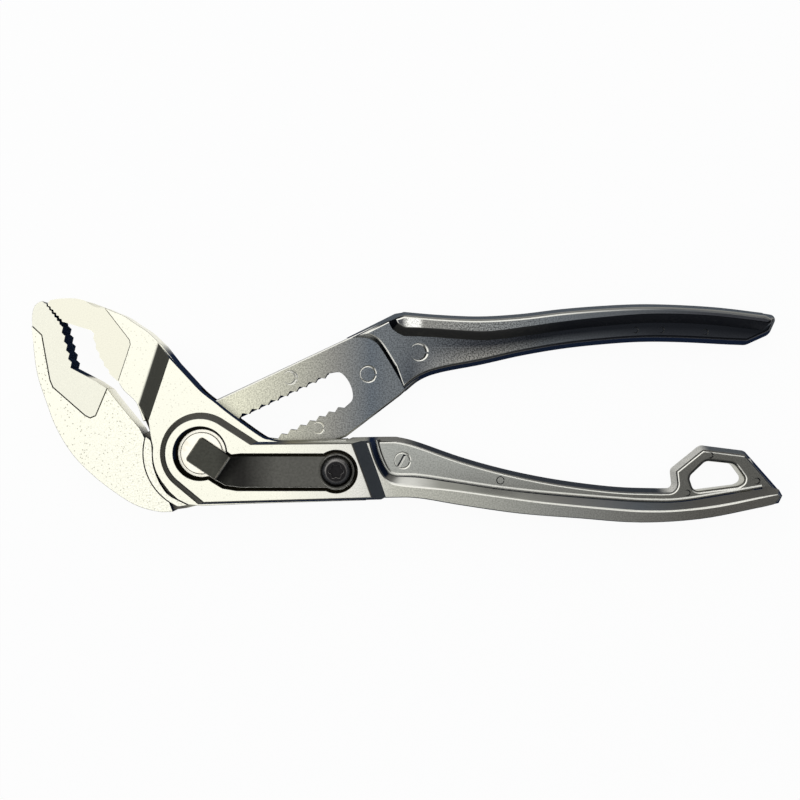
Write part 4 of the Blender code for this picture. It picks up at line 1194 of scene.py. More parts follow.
def lower_insert(material):
    """Toothed steel face of the lower jaw, keyed into the slotted handle."""
    pipe = teeth(divide(LOWER_FLANK[-1], LOWER_GRIP_HEEL, COARSE_TEETH), COARSE_TOOTH, COARSE_LEAN)
    grip = teeth(divide(LOWER_GRIP_HEEL, LOWER_GRIP_TIP, FINE_TEETH), FINE_TOOTH)
    tip = [LOWER_GRIP_TIP, *smooth(LOWER_TIP)]
    outline = [*LOWER_FLANK[:-1], *pipe, *grip, *tip, *LOWER_SEAT[-2:0:-1]]
    item = solid("lower_insert", JAW_BACK, JAW_FRONT, TOOTH_EDGE, lambda z: outline)
    return shade(join(item, seat_key(LOWER_KEY_EDGE, 0)), material)


def flanged_bush(material):
    """Turned bush in the front cheek, with its flange round the pin's head."""
    seat, lip = COUNTERBORE + SEAT_GAP, BUSH_CHAMFER
    return shade(lathe("flanged_bush", [
        (BUSH_BORE, CHEEK_BACK), (BUSH_BARREL - lip, CHEEK_BACK), (BUSH_BARREL, CHEEK_BACK + lip),
        (BUSH_BARREL, seat), (BUSH_RADIUS, seat), *turned_edge(BUSH_RADIUS, BUSH_FRONT, lip, 1),
        (BUSH_BORE + lip, BUSH_FRONT), (BUSH_BORE, BUSH_FRONT - lip),
    ]), material)


def back_bush(material):
    """Plain bush in the back cheek that guides the pin's shank."""
    lip = BUSH_CHAMFER
    return shade(lathe("back_bush", [
        (REAR_BUSH_BORE, THUMB_DISH + lip), (REAR_BUSH_BORE + lip, THUMB_DISH),
        (REAR_BUSH_RADIUS - lip, THUMB_DISH), (REAR_BUSH_RADIUS, THUMB_DISH + lip),
        (REAR_BUSH_RADIUS, BACK_CHEEK), (REAR_BUSH_BORE, BACK_CHEEK),
    ]), material)


def push_pin(material):
    """Headed pin with splines for the slot's teeth, pushed from the back to free the slot."""
    waist = PLATE_FRONT - PIN_TRAVEL + SIDE_CLEARANCE
    lip = PIN_CHAMFER
    item = lathe("push_pin", [
        (0, PIN_INSET), *turned_edge(PIN_SHANK_RADIUS, PIN_INSET, lip, -1)[::-1],
        (PIN_SHANK_RADIUS, waist), (PIN_RADIUS, waist), (PIN_RADIUS, HEAD_BACK),
        (PIN_HEAD_RADIUS, HEAD_BACK), *turned_edge(PIN_HEAD_RADIUS, HEAD_FRONT, lip, 1), (0, HEAD_FRONT),
    ])
    groove = PIN_RADIUS * math.sin(math.pi / PIN_SPLINES) / 2
    root = PIN_RADIUS - PIN_SPLINE_DEPTH
    corners = [(root, 0), (BUSH_BORE, -groove), (BUSH_BORE, groove)]
    for k in range(PIN_SPLINES):
        notch = along_slot(corners, 360 * k / PIN_SPLINES)
        cut(item, prism("notch", notch, waist - RUNNING_GAP, PLATE_FRONT))
    return shade(item, material)


def leaf(material):
    """Bent leaf that holds the pin in, with a stamped ring round the screw."""
    middle, top = LEAF_BACK + LEAF / 2, LEAF_BACK + LEAF
    item = solid("leaf", LEAF_BACK, top, LEAF_EDGE, lambda z: channel_outline(0))
    pivot = PIVOT.to_2d()
    work = bmesh.new()
    work.from_mesh(item.data)
    bmesh.ops.triangulate(work, faces=[f for f in work.faces if len(f.verts) > 4])
    lines = [LEAF_CREASE + LEAF_RAMP * step / RAMP_STEPS for step in range(RAMP_STEPS + 1)]
    for line in [LEAF_CREASE - LEAF_CURL_RUN, *lines]:
        plane = pivot - line * MM * LEAF_WAY
        bmesh.ops.bisect_plane(
            work, geom=[*work.verts, *work.edges, *work.faces],
            plane_co=(*plane, 0), plane_no=(*LEAF_WAY, 0), dist=BEND_WELD)
    for vertex in work.verts:
        place = (vertex.co.to_2d() - pivot).dot(LEAF_WAY) / MM + LEAF_CREASE
        rise = LEAF_RISE * min(max(1 + place / LEAF_RAMP, 0), 1) ** 2
        curl = LEAF_CURL * max(1 - place / LEAF_CURL_RUN, 0) if place >= 0 else 0
        vertex.co.z += (rise + curl) * MM
    work.to_mesh(item.data)
    work.free()
    join(item, lathe("ring", [
        (RING_INNER, middle), (RING_OUTER, middle), (RING_OUTER, top),
        (RING_OUTER - RING_RISE, top + RING_RISE), (RING_INNER + RING_RISE, top + RING_RISE),
        (RING_INNER, top)], SCREW_PLACE))
    cut(item, prism("hole", circle(SCREW_PLACE, SCREW_RADIUS + SEAT_GAP), UNDER, OVER))
    shade(item, material)
    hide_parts("leaf_spring")
    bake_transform(item)


def button_screw(material):
    """Button head screw with a turned rim and a six-lobed socket."""
    top, end = SCREW_SEAT + SCREW_HEAD, SCREW_SEAT - SCREW_LENGTH
    dome = [(SCREW_HEAD_RADIUS * r, SCREW_SEAT + SCREW_HEAD * z) for r, z in smooth(HEAD_PROFILE)]
    item = lathe("button_screw", [
        (0, end), (SCREW_RADIUS - SCREW_CHAMFER, end), (SCREW_RADIUS, end + SCREW_CHAMFER),
        (SCREW_RADIUS, SCREW_SEAT), (SCREW_HEAD_RADIUS, SCREW_SEAT), *dome, (0, top),
    ], SCREW_PLACE)

    def socket(grown):
        ring = []
        for k in range(ROUND):
            turn = 2 * math.pi * k / ROUND
            ripple = 1 - SOCKET_RIPPLE + SOCKET_RIPPLE * math.cos(SOCKET_LOBES * turn)
            ring += around(SCREW_PLACE, SCREW_SOCKET * ripple + grown, [turn])
        return ring

    cut(item, flared("socket", socket, top - SCREW_SOCKET_DEPTH, top, CUT_EDGE))
    return shade(item, material)


def linear(code):
    """An sRGB hex colour as linear red, green and blue."""
    parts = [int(code[k:k + 2], 16) / 255 for k in (1, 3, 5)]
    return tuple(p / 12.92 if p <= 0.04045 else ((p + 0.055) / 1.055) ** 2.4 for p in parts)


def feed(tree, node, inputs):
    """Link or set inputs of a node."""
    for key, value in inputs.items():
        if isinstance(value, bpy.types.NodeSocket):
            tree.links.new(value, node.inputs[key])
        else:
            node.inputs[key].default_value = value


def add(tree, kind, inputs=None, stops=(), **settings):
    """Add a node with its settings, its values and links by socket, and its colour stops."""
    node = tree.nodes.new(kind)
    for key, value in settings.items():
        setattr(node, key, value)
    feed(tree, node, inputs or {})
    for k, (place, colour) in enumerate(stops):
        if k == 0:
            node.color_ramp.elements.remove(node.color_ramp.elements[1])
        mark = node.color_ramp.elements.new(place) if k else node.color_ramp.elements[0]
        mark.position = place
        mark.color = (*colour, 1)
    return node


def new_material(name):
    """A material with its node tree and shader."""
    material = bpy.data.materials.new(name)
    material.use_nodes = True
    return material, material.node_tree, material.node_tree.nodes["Principled BSDF"]


def grey(share):
    """An even share as a colour stop."""
    return (share, share, share)


def spread(stops):
    """Colour stops along the tool, given in millimetres from the pivot axis, as shares of its length."""
    low, high = CAD_BOX[0].x, CAD_BOX[1].x
    return [((PIVOT.x + x * MM - low) / (high - low), colour) for x, colour in stops]


def even_stops(*stops):
    """Stops along the tool that hold even shares."""
    return [(x, grey(share)) for x, share in stops]


def heights(line):
    """Stops along the tool that hold a line's height as a share of the tool's width."""
    low, high = CAD_BOX[0].y, CAD_BOX[1].y
    return even_stops(*[(x, (PIVOT.y + y * MM - low) / (high - low)) for x, y in line])


def ranged(tree, value, limits, ends=(0.0, 1.0)):
    """A value carried from between two limits to between two ends, and held there."""
    return add(tree, "ShaderNodeMapRange", {
        "Value": value, "From Min": limits[0], "From Max": limits[1],
        "To Min": ends[0], "To Max": ends[1]}).outputs[0]


def worked(tree, operation, first, second=0.0):
    """The result of one step of arithmetic."""
    return add(tree, "ShaderNodeMath", {0: first, 1: second}, operation=operation).outputs[0]


def mixed(tree, share, first, second, blend="MIX"):
    """Two colours mixed by a share."""
    return add(tree, "ShaderNodeMix", {
        0: share, 6: first, 7: second}, data_type="RGBA", blend_type=blend).outputs[2]


def passing(tree, value, limits, first, second):
    """Colour that passes from one to another while a value rises between two limits."""
    return mixed(tree, ranged(tree, value, limits), first, second)


def speckle(tree, place, size, detail, roughness=0.5):
    """Noise with grains of a size in millimetres."""
    return add(tree, "ShaderNodeTexNoise", {
        "Vector": place, "Scale": 1 / (size * MM), "Detail": detail, "Roughness": roughness}).outputs[0]


def relief(tree, height, depth, strength):
    """Normals of a fine relief with a depth in millimetres."""
    return add(tree, "ShaderNodeBump", {
        "Height": height, "Distance": depth * MM, "Strength": strength}).outputs[0]


def surface(tree):
    """What a finish goes by: place, direction and upright share of the face, and tones along the tool."""
    place = add(tree, "ShaderNodeTexCoord").outputs
    spot = add(tree, "ShaderNodeSeparateXYZ", {0: place["Object"]}).outputs
    way = add(tree, "ShaderNodeSeparateXYZ", {0: place["Normal"]}).outputs
    facing = worked(tree, "ABSOLUTE", way["Z"])
    along = ranged(tree, spot["X"], (CAD_BOX[0].x, CAD_BOX[1].x))

    def tone(stops):
        return add(tree, "ShaderNodeValToRGB", {"Fac": along}, spread(stops)).outputs[0]

    return place["Object"], spot, way, facing, tone


def blasted_casting(name, levels, fade, sides, walls, bands, grain_shares, pits, roughness):
    """Die-cast aluminium, blasted, with painted highlight, shade and reflection in its colour.

    The flats are grainy, each level in its own tone along the tool: a painted highlight at the head that
    falls off into painted shade towards the handles' ends, and painted shade that darkens the web towards
    the foot of its rim. Edges and slopes take a painted highlight on the side that faces up and left and
    painted shade on the other, and the walls take painted dark reflections and shade, so that the shape
    reads as pale faces between dark sides. Tones and shares are stops along the tool, and the bands
    change the walls across it.
    """
    material, tree, shader = new_material(name)
    place, spot, way, facing, tone = surface(tree)
    height = worked(tree, "ABSOLUTE", worked(tree, "SUBTRACT", spot["Z"], MIDDLE * MM))
    # Painted light falls from up and left in plan: how far a face turns that way.
    side = worked(tree, "SUBTRACT", way["Y"], way["X"])
    # Painted shade: the web darkens across its width towards the foot of its rim.
    rim, foot, dark_web = fade
    across = ranged(tree, spot["Y"], (CAD_BOX[0].y, CAD_BOX[1].y))
    web = ranged(tree, across, (tone(heights(rim)), tone(heights(foot))))
    middle = passing(tree, web, WEB_LIMITS, tone(levels[1]), tone(dark_web))
    # Each level's tone along the tool: a painted highlight at the head that falls off into painted shade
    # towards the handle's end.
    colour = passing(tree, height, LEVEL_LIMITS[0], tone(levels[0]), middle)
    colour = passing(tree, height, LEVEL_LIMITS[1], colour, tone(levels[2]))
    grain = speckle(tree, place, GRAIN, detail=3.0, roughness=0.65)
    dark = ranged(tree, grain, GRAIN_SPAN, GRAIN_TONES)
    colour = mixed(tree, tone(grain_shares), colour, dark, "MULTIPLY")
    cell = add(tree, "ShaderNodeTexVoronoi", {"Vector": place, "Scale": 1 / (PIT * MM)})
    pit = ranged(tree, cell.outputs["Distance"], PIT_SPAN, (1.0, 0.0))
    share = worked(tree, "MULTIPLY", pit, tone(pits))
    colour = mixed(tree, share, colour, (*linear(PIT_FLOOR), 1))
    # Edges, slopes and steep faces: painted highlight on the side that faces up and left, painted shade
    # on the other.
    for limits, dull, bright in sides:
        edge = passing(tree, side, LIT_LIMITS, tone(dull), tone(bright))
        colour = passing(tree, facing, limits, edge, colour)
    # Walls take painted dark reflection and shade, and are metallic only where their shares say, so that
    # the rest show that painted colour rather than reflections.
    wall, shine = tone(walls[0]), tone(walls[1])
    for limits, tones, shares in bands:
        wall = passing(tree, spot["Y"], limits, wall, tone(tones))
        shine = passing(tree, spot["Y"], limits, shine, tone(shares))
    feed(tree, shader, {
        "Base Color": passing(tree, facing, WALL_LIMITS, wall, colour),
        "Metallic": passing(tree, facing, WALL_LIMITS, shine, (1, 1, 1, 1)),
        "Roughness": ranged(tree, grain, ROUGH_SPAN, [roughness + change for change in CAST_ROUGH]),
        "Normal": relief(tree, grain, GRAIN_RELIEF, strength=0.5), "Specular IOR Level": 0.0})
    return material


def two_tone_steel(name, faces, bends, edges, metal_edges, mottle, roughness, grain, highlighted=None):
    """Steel with one tone on its faces, slightly mottled, and others on its bends and cut edges, which
    can carry painted highlight and shade.

    Bends take their first tone where they face left and their second elsewhere. Given a lower highlight
    colour, the edges towards the handle's lower side take it as a painted highlight.
    """
    material, tree, shader = new_material(name)
    place, _, way, facing, tone = surface(tree)
    # Painted highlight and shade on the bends: the first tone where they face left, the second elsewhere.
    bend = passing(tree, way["X"], LIT_LIMITS, (*bends[0], 1), (*bends[1], 1))
    colour = passing(tree, facing, BEND_LIMITS, bend, tone(faces))
    # Cut edges take their own tone, a painted highlight on the leaf and painted shade in the lower
    # insert's teeth.
    colour = passing(tree, facing, EDGE_LIMITS, tone(edges), colour)
    metal = passing(tree, facing, EDGE_LIMITS, tone(metal_edges), (1, 1, 1, 1))
    # Painted highlight on the edges that face the handle's lower side.
    if highlighted is not None:
        highlight_colour = passing(tree, way["Y"], LOWER_HIGHLIGHT_WAY, (*highlighted, 1), colour)
        colour = passing(tree, facing, LOWER_HIGHLIGHT_LIMITS, highlight_colour, colour)
        share = passing(tree, way["Y"], LOWER_HIGHLIGHT_WAY, (0, 0, 0, 1), metal)
        metal = passing(tree, facing, LOWER_HIGHLIGHT_LIMITS, share, metal)
    noise = speckle(tree, place, grain, detail=4.0, roughness=0.6)
    dark = ranged(tree, noise, MOTTLE_SPAN, (1 - mottle, 1.0))
    feed(tree, shader, {
        "Base Color": mixed(tree, 1.0, colour, dark, "MULTIPLY"), "Metallic": metal,
        "Roughness": ranged(tree, noise, ROUGH_SPAN, [roughness + change for change in STEEL_ROUGH]),
        "Normal": relief(tree, noise, GRAIN_RELIEF / 2, strength=0.4), "Specular IOR Level": 0.0})
    return material


def even_steel(name, colour, bend, mottle, roughness, grain):
    """Steel with one tone all over, apart from its bends, whose tone is a painted highlight where it
    differs.
    """
    even = [(0, colour)]
    return two_tone_steel(name, even, (bend, bend), even, even_stops((0, 1.0)), mottle, roughness, grain)


def turned_metal(name, colour):
    """Turned metal: fine rings about the pivot axis that stretch the light into arcs."""
    material, tree, shader = new_material(name)
    place = add(tree, "ShaderNodeTexCoord").outputs["Object"]
    centred = add(tree, "ShaderNodeMapping", {"Vector": place, "Location": (-PIVOT.x, -PIVOT.y, 0)})
    rings = add(tree, "ShaderNodeTexWave", {
        "Vector": centred.outputs[0], "Scale": math.tau / (WAVE_RATE * TURNED_GROOVE * MM),
        "Distortion": 0.6, "Detail": 2.0, "Detail Scale": 3.0},
        wave_type="RINGS", rings_direction="Z").outputs["Fac"]
    stain = ranged(tree, speckle(tree, place, STAIN, detail=3.0), STAIN_SPAN, STAIN_SHARES)
    feed(tree, shader, {
        "Base Color": mixed(tree, stain, (*colour, 1), (*linear(STAIN_COLOUR), 1)), "Metallic": 1.0,
        "Roughness": ranged(tree, rings, (0.0, 1.0), TURNED_ROUGH),
        "Normal": relief(tree, rings, TURNED_RELIEF, strength=0.3)})
    return material


def pale_floor(colour):
    """Matt pale board: white to the camera and in reflections, with a faint shadow left on it."""
    material, tree, shader = new_material("matt white board")
    path = add(tree, "ShaderNodeLightPath").outputs
    seen = worked(tree, "ADD", path["Is Camera Ray"], path["Is Glossy Ray"])
    any_ray = add(tree, "ShaderNodeMath", {
        0: seen, 1: path["Is Transmission Ray"]}, operation="ADD", use_clamp=True).outputs[0]
    share = worked(tree, "MULTIPLY", any_ray, FLOOR_GLOW)
    glow = add(tree, "ShaderNodeEmission", {"Color": (1, 1, 1, 1), "Strength": 1.0})
    place = add(tree, "ShaderNodeTexCoord").outputs["Object"]
    grain = speckle(tree, place, FLOOR_GRAIN, detail=2.0)
    feed(tree, shader, {
        "Base Color": (*colour, 1), "Roughness": 0.9,
        "Normal": relief(tree, grain, FLOOR_RELIEF, strength=0.1)})
    board = add(tree, "ShaderNodeMixShader", {0: share, 1: shader.outputs[0], 2: glow.outputs[0]})
    feed(tree, tree.nodes["Material Output"], {"Surface": board.outputs[0]})
    return material


def colour_setting(name, description, code):
    """A colour that a user can change."""
    return FloatVectorProperty(
        name=name, description=description, default=linear(code), subtype="COLOR", size=3,
        min=0.0, max=1.0)


class PlierSizes(bpy.types.PropertyGroup):
    """Sizes of the finish, which leave the outlines alone."""

    edge: FloatProperty(
        name="Edge radius", description="Rounding of the castings' edges", default=0.7 * MM,
        min=0.05 * MM, max=0.9 * MM, unit="LENGTH")
    mark_depth: FloatProperty(
        name="Mark depth", description="Depth of the ejector pin marks", default=0.18 * MM,
        min=0.02 * MM, max=0.5 * MM, unit="LENGTH")


class PlierFinishes(bpy.types.PropertyGroup):
    """Colours of the pieces, many of them carrying painted highlight, shade and reflection."""

    # Painted highlight: the head's pale tone is the glint of the light on the jaws and cheeks.
    head: colour_setting("Head", "Rubbed aluminium of the jaws and cheeks", "#f3f1e1")
    # From here to the grip's end, tones darken along the tool as the painted highlight at the head falls
    # off into painted shade.
    land: colour_setting("Land", "Plateau beside the leaf's screw", "#dcdad2")
    rail: colour_setting("Rail", "Lower handle's rail beside the joint", "#b6b5aa")
    rail_middle: colour_setting("Rail middle", "Lower handle's rail at its middle", "#878782")
    rail_end: colour_setting("Rail end", "Lower handle's rail at its end", "#605e59")
    panel: colour_setting("Panel", "Lower handle's panel beside the joint", "#a2a39d")
    panel_end: colour_setting("Loop", "Lower handle's panel and loop at its end", "#65645f")
    plate: colour_setting("Plate", "Blasted aluminium of the slotted plate by the joint", "#d4d2bd")
    plate_end: colour_setting("Plate end", "Slotted plate by the handle", "#666a6d")
    # Painted highlight on the start of the upper handle's rim.
    nose: colour_setting("Rim nose", "Start of the upper handle's rim", "#f4f3ec")
    rim: colour_setting("Rim", "Upper handle's rim beside the joint", "#85847f")
    rim_end: colour_setting("Rim end", "Upper handle's rim at its end", "#3c3d41")
    # Painted reflection: the blue-grey of the wall along the rim.
    crown: colour_setting("Crown", "Outer wall along the upper handle's rim", "#5e646a")
    grip: colour_setting("Grip", "Upper handle's web beside the joint", "#828280")
    grip_end: colour_setting("Grip end", "Upper handle's web at its end", "#35373b")
    # Painted shade: the dark that the bevels reflect.
    bevel: colour_setting("Bevel", "Bevels round the plateau and the ramp at the jaw", "#5a5853")
    # Painted highlight on the edges and slopes that face up and left.
    painted_highlight: colour_setting("Lit edge", "Edges of the handles that are rubbed bright", "#f4f2e8")
    # Painted highlight on the lower handle's slope, which faces up.
    slope: colour_setting("Slope", "Slope along the lower handle", "#8e8c86")
    # Painted shade on the upper handle's slope, which faces down, and on the far grip.
    skin: colour_setting("Skin", "Dark skin of the upper handle's slope", "#1b1d21")
    # Painted shade in the leaf's channel and inside the joint.
    pocket: colour_setting("Pocket", "Floor of the leaf's channel and of the joint", "#17150f")
    # Painted dark blue reflection and shade on the side walls.
    wall: colour_setting("Wall", "Side walls of the head and of the upper handle", "#243048")
    # Painted shade on the lower handle's side walls.
    side: colour_setting("Side", "Side walls of the lower handle", "#41454b")
    # Painted reflection on the wall of the step round the cheek.
    neck: colour_setting("Neck", "Step round the cheek", "#8a8570")
    # Blasted steel, pale with the same painted highlight that the head carries.
    insert: colour_setting("Jaw insert", "Blasted steel of the jaw inserts", "#f2efdd")
    # The leaf's tone along the tool: the tip darker than the strip, and painted shade on the ramp of the
    # bend.
    tip: colour_setting("Leaf tip", "Black oxide of the leaf's tip", "#45453f")
    leaf: colour_setting("Leaf", "Black oxide of the leaf's strip", "#5a5954")
    bend: colour_setting("Leaf bend", "Black oxide of the leaf's bend", "#2b2a28")
    screw: colour_setting("Screw", "Black oxide of the screw", "#232223")
    pin: colour_setting("Pin", "Turned steel of the pin and its flanged bush", "#f2eee0")
    bronze: colour_setting("Back bush", "Bronze of the bush in the back cheek", "#b58a52")
    floor: colour_setting("Floor", "Board that the tool lies on", "#f4f4f4")


def body_finish(hue):
    """Finish of the body: blasted aluminium, with a painted highlight at the head that gives way to
    painted shade along the handle.
    """
    # Walls at the head: the head's tone at the jaw's tip, then painted shade; the shares make them
    # metallic only at the tip.
    head_wall = [(-21, hue.head), (-18.5, hue.pocket)]
    head_share = even_stops((-21, 1.0), (-18.5, 0.0))
    # Walls in bands across the handle: painted shade and painted reflections, lighter or darker along the
    # tool.
    hole_wall = [
        *head_wall, (60, hue.pocket), (62, hue.side), (152, hue.side), (156, hue.land), (161, hue.land),
        (164, hue.rail), (182.5, hue.rail), (183.5, hue.wall)]
    hole_share = [*head_share, *even_stops((161, 0.0), (162, 1.0), (182.5, 1.0), (183.5, 0.0))]
    top_wall = [
        *head_wall, (-14, hue.pocket), (-11, hue.wall), (24, hue.wall), (30, hue.neck), (46, hue.rail),
        (54.6, hue.rail), (55.2, hue.wall), (57.6, hue.wall), (58, hue.slope), (66, hue.slope),
        (72, hue.side), (150, hue.side), (158, hue.land), (166, hue.land), (168.5, hue.plate_end),
        (180, hue.plate_end), (182, hue.wall)]
    jaw_wall, jaw_share = [(-14, hue.head), (-11, hue.wall)], even_stops((-14, 1.0), (-11, 0.0))
    # The panel starts in painted shade where it meets the plateau.
    panel = [(55, hue.pocket), (57, hue.panel)]
    # Painted shade on the ramp down to the jaw.
    ramp = [(-8, hue.tip), (10, hue.bevel)]
    return blasted_casting(
        "blasted die-cast aluminium, body",
        # Levels from the middle plane out: painted shade inside the joint, the panel, then the faces from
        # the painted highlight at the head to painted shade at the end.
        [[(0, hue.pocket)],
         [*panel, (80, hue.panel), (145, hue.panel_end)],
         [(25, hue.head), (52, hue.land), (64, hue.rail), (118, hue.rail_middle), (165, hue.rail_end)]],
        # Painted shade on the web towards the rail's foot.
        fade=(LOWER_TOP, LOWER_FOOT, [*panel, (90, hue.rail_middle), (145, hue.panel_end)]),
        # Painted highlight and shade on edges, slopes and steep faces, by the side they face.
        sides=[
            (FLAT_LIMITS, [*ramp, (61, hue.bevel), (63, hue.rail), (170, hue.rail_end)],
             [*ramp, (55, hue.bevel), (57.5, hue.painted_highlight)]),
            (SLOPE_LIMITS, [(30, hue.bevel), (45, hue.plate_end), (61, hue.plate_end), (66, hue.side)],
             [(62, hue.bevel), (66, hue.painted_highlight), (70, hue.painted_highlight), (79, hue.rail), (97, hue.rail),
              (118, hue.slope), (145, hue.plate_end), (165, hue.rail_end)]),
            (STEEP_LIMITS, [(50, hue.bevel), (54, hue.wall), (66, hue.wall), (69, hue.side)],
             [(54, hue.bevel), (58, hue.slope), (180, hue.rail_end)])],
        # Walls: painted dark reflection and shade along the tool.
        walls=([*head_wall, (-11, hue.pocket), (-8, hue.wall), (45, hue.wall), (60, hue.side),
                (150, hue.side), (158, hue.wall)], head_share),
        bands=[(HOLE_BAND, hole_wall, hole_share), (TOP_BAND, top_wall, head_share),
               (JAW_BAND, jaw_wall, jaw_share)],
        grain_shares=even_stops((-60, 0.04), (40, 0.1), (70, 0.3), (190, 0.25)),
        pits=even_stops((-60, 0.35), (40, 0.1), (80, 0.0)),
        roughness=0.4)


def handle_finish(hue):
    """Finish of the slotted handle: blasted aluminium, with a painted highlight at the jaw and on the
    rim's nose, and a grip that darkens into painted shade towards its end.
    """
    return blasted_casting(
        "blasted die-cast aluminium, handle",
        # Levels from the middle plane out, each darkening along the tool into painted shade towards the
        # handle's end; the rim's nose carries a painted highlight.
        [[(-6, hue.bevel), (2, hue.plate), (12, hue.plate), (44, hue.rim), (56, hue.crown),
          (62, hue.plate_end)],
         [(61, hue.plate_end), (69, hue.side), (77, hue.grip), (87, hue.slope), (97, hue.slope),
          (114, hue.plate_end), (150, hue.grip_end)],
         [(-8, hue.head), (58, hue.plate_end), (66.3, hue.rim_end), (68.8, hue.nose), (72, hue.nose),
          (73.4, hue.rim), (115, hue.plate_end), (170, hue.rim_end)]],
        # Painted shade on the web towards the rim's foot.
        fade=(UPPER_BOTTOM, RIM_FOOT, [(62, hue.plate_end), (90, hue.grip_end), (110, hue.skin)]),
        # Painted highlight and shade on edges, slopes and steep faces, by the side they face.
        sides=[
            (FLAT_LIMITS, [(-20, hue.bevel), (0, hue.plate), (70, hue.rim), (110, hue.rim_end),
                           (150, hue.skin)],
             [(-20, hue.bevel), (0, hue.painted_highlight), (118, hue.painted_highlight), (155, hue.plate_end), (180, hue.grip)]),
            # Slopes: painted shade along the upper handle, with painted highlight near the joint.
            (SLOPE_LIMITS, [(-20, hue.bevel), (30, hue.painted_highlight), (55, hue.painted_highlight), (58, hue.skin),
                            (61, hue.skin), (64, hue.rail_end), (100, hue.rail_end), (120, hue.rim_end)],
             [(-20, hue.bevel), (20, hue.painted_highlight), (56, hue.painted_highlight), (59, hue.skin), (66, hue.skin),
              (68, hue.rim)])],
        # Walls: the head's tone at the jaw's tip, then painted dark reflection, with the rim's crown in
        # its own painted reflection.
        walls=([(-21, hue.head), (-19, hue.wall)], even_stops((-21, 1.0), (-19, 0.0))),
        bands=[(CROWN_BAND, [(0, hue.crown)], even_stops((0, 0.0)))],
        grain_shares=even_stops(
            (-60, 0.04), (0, 0.35), (50, 0.5), (75, 0.6), (90, 1.0), (105, 0.8), (125, 0.25)),
        pits=even_stops((-60, 0.7), (-10, 0.4), (10, 0.0)),
        roughness=0.38)


class PLIERS_OT_body(bpy.types.Operator):
    """Build the cast body with the upper jaw, cheeks and lower handle"""

    bl_idname = "pliers.body"
    bl_label = "Cast body"

    def execute(self, context):
        scene = context.scene
        stand_for(cast_body(scene.plier_sizes, body_finish(scene.plier_finishes)), "body_casting", "body")
        return {"FINISHED"}


class PLIERS_OT_handle(bpy.types.Operator):
    """Build the slotted handle with the lower jaw, plate and upper handle"""

    bl_idname = "pliers.handle"
    bl_label = "Slotted handle"

    def execute(self, context):
        scene = context.scene
        item = cast_slotted_handle(scene.plier_sizes, handle_finish(scene.plier_finishes))
        stand_for(item, "slotted_handle", "handle")
        return {"FINISHED"}


class PLIERS_OT_inserts(bpy.types.Operator):
    """Build the toothed steel inserts of both jaws"""

    bl_idname = "pliers.inserts"
    bl_label = "Jaw inserts"

    def execute(self, context):
        hue = context.scene.plier_finishes
        cream = hue.insert
        upper_steel = even_steel(
            "bead blasted jaw steel, upper", cream, cream, mottle=0.12, roughness=0.42, grain=0.5)
        lower_steel = two_tone_steel(
            "bead blasted jaw steel, lower", [(0, hue.head)], (cream, cream),
            # Painted shade and dark reflection on the walls of the coarse teeth, not metallic there so
            # that they keep it.
            [(-54, cream), (-52, hue.wall), (-38.5, hue.wall), (-37, cream)],
            even_stops((-54, 1.0), (-52, 0.0), (-38.5, 0.0), (-37, 1.0)),
            mottle=0.16, roughness=0.42, grain=0.4)
        stand_for(upper_insert(upper_steel), "upper_jaw_insert", "body")
        stand_for(lower_insert(lower_steel), "lower_jaw_insert", "handle")
        return {"FINISHED"}


class PLIERS_OT_pin(bpy.types.Operator):
    """Build the push pin and the two bushes that it runs in"""

    bl_idname = "pliers.pin"
    bl_label = "Pin and bushes"

    def execute(self, context):
        hue = context.scene.plier_finishes
        turned = turned_metal("turned and polished steel", hue.pin)
        stand_for(push_pin(turned), "locking_pin", "pin")
        stand_for(flanged_bush(turned), "pivot_bush", "bush")
        stand_for(back_bush(turned_metal("turned bronze", hue.bronze)), "rear_bush", "body")
        return {"FINISHED"}


class PLIERS_OT_spring(bpy.types.Operator):
    """Build the leaf spring, its screw and the finish of the threaded insert below it"""

    bl_idname = "pliers.spring"
    bl_label = "Leaf spring and screw"

    def execute(self, context):
        hue = context.scene.plier_finishes
        leaf_highlight, highlight_colour, drawn = linear(LEAF_HIGHLIGHT), linear(SCREW_HIGHLIGHT), linear(DRAWN_STEEL)
        # The leaf: painted highlights on its cut edges, its left-facing bends and its lower edges,
        # painted shade on its other bends and on the ramp.
        leaf(two_tone_steel(
            "black oxide spring steel", [(5, hue.tip), (11, hue.bend), (14, hue.bend), (25, hue.leaf)],
            (leaf_highlight, hue.bend), [(0, leaf_highlight)], even_stops((0, 1.0)),
            mottle=0.3, roughness=0.34, grain=0.9, highlighted=hue.painted_highlight))
        # The screw's bends take a painted highlight, which draws the rings of its head.
        screw_steel = even_steel(
            "black oxide screw steel", hue.screw, highlight_colour, mottle=0.3, roughness=0.28, grain=0.6)
        stand_for(button_screw(screw_steel), "spring_screw", "body")
        thread = frame["nodes"]["thread_insert"]
        thread.data.materials.clear()
        thread.data.materials.append(even_steel(
            "drawn insert steel", drawn, drawn, mottle=0.2, roughness=0.4, grain=0.6))
        return {"FINISHED"}


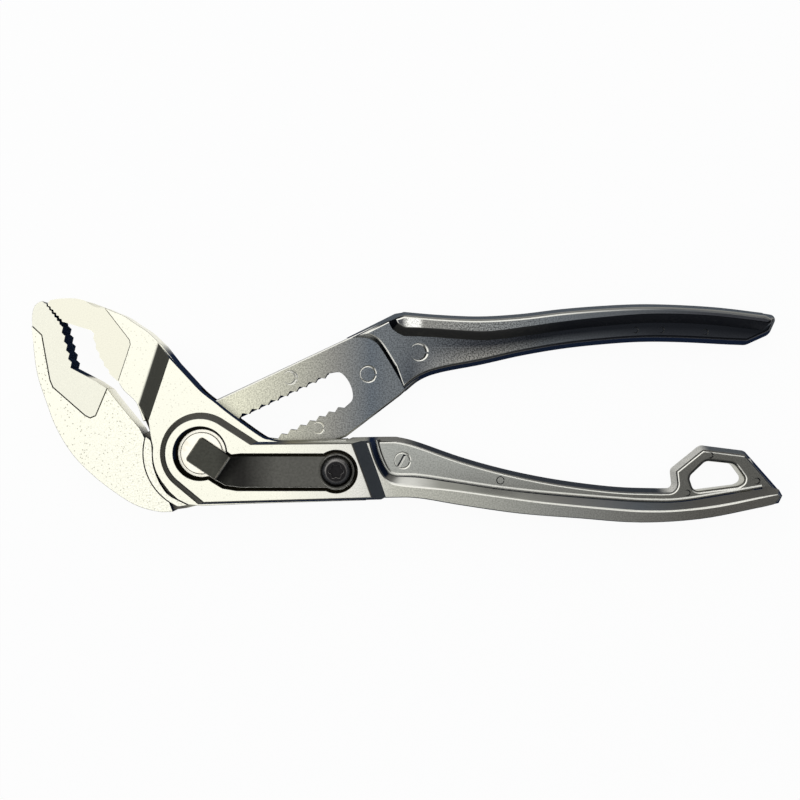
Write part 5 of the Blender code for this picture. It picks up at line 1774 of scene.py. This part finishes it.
class PLIERS_OT_stage(bpy.types.Operator):
    """Set the board, the soft lights and the camera straight above the tool"""

    bl_idname = "pliers.stage"
    bl_label = "Stage"

    def execute(self, context):
        scene = context.scene
        floor = make("board", [(x, y, FLOOR_DROP) for x, y in circle((0, 0), FLOOR_RADIUS)],
                     [list(range(ROUND))], Vector())
        floor.data.materials.append(pale_floor(scene.plier_finishes.floor))
        for name, place, size, radiance in LAMPS:
            data = bpy.data.lights.new(name, "AREA")
            data.shape = "RECTANGLE"
            data.size, data.size_y = size
            data.energy = radiance * math.pi * size[0] * size[1]
            lamp = bpy.data.objects.new(name, data)
            lamp.location = place
            lamp.rotation_euler = (-Vector(place)).to_track_quat("-Z", "Y").to_euler()
            lamp.visible_camera = False
            scene.collection.objects.link(lamp)
        world = bpy.data.worlds.new("studio")
        world.use_nodes = True
        tree = world.node_tree
        place = add(tree, "ShaderNodeTexCoord").outputs["Generated"]
        ray = add(tree, "ShaderNodeSeparateXYZ", {0: place}).outputs["Z"]
        sky = add(tree, "ShaderNodeValToRGB", {"Fac": ray}, SKY)
        feed(tree, tree.nodes["Background"], {"Color": sky.outputs[0]})
        scene.world = world
        scene.view_settings.view_transform = "Standard"
        camera = bpy.data.objects.new("camera", bpy.data.cameras.new("camera"))
        camera.location = CAMERA
        camera.data.lens = LENS
        scene.collection.objects.link(camera)
        scene.camera = camera
        return {"FINISHED"}


class PLIERS_PT_panel(bpy.types.Panel):
    """Sizes, colours and builders of the pliers"""

    bl_idname = "PLIERS_PT_panel"
    bl_label = "Water pump pliers"
    bl_space_type = "VIEW_3D"
    bl_region_type = "UI"
    bl_category = "Pliers"

    def draw(self, context):
        for group in (context.scene.plier_sizes, context.scene.plier_finishes):
            for name in group.bl_rna.properties.keys():
                if name not in ("rna_type", "name"):
                    self.layout.prop(group, name)
        for builder in BUILDERS:
            self.layout.operator(builder.bl_idname)


GROUPS = (PlierSizes, PlierFinishes)
BUILDERS = (PLIERS_OT_body, PLIERS_OT_handle, PLIERS_OT_inserts, PLIERS_OT_pin, PLIERS_OT_spring,
            PLIERS_OT_stage)


def register():
    """Make the settings, builders and panel known to Blender."""
    for kind in (*GROUPS, *BUILDERS, PLIERS_PT_panel):
        bpy.utils.register_class(kind)
    bpy.types.Scene.plier_sizes = PointerProperty(type=PlierSizes)
    bpy.types.Scene.plier_finishes = PointerProperty(type=PlierFinishes)


def unregister():
    """Take the settings, builders and panel away again."""
    del bpy.types.Scene.plier_finishes
    del bpy.types.Scene.plier_sizes
    for kind in reversed((*GROUPS, *BUILDERS, PLIERS_PT_panel)):
        bpy.utils.unregister_class(kind)


def main():
    """Build every piece and the stage."""
    register()
    bpy.ops.pliers.body()
    bpy.ops.pliers.handle()
    bpy.ops.pliers.inserts()
    bpy.ops.pliers.pin()
    bpy.ops.pliers.spring()
    bpy.ops.pliers.stage()


if __name__ == "__main__":
    main()
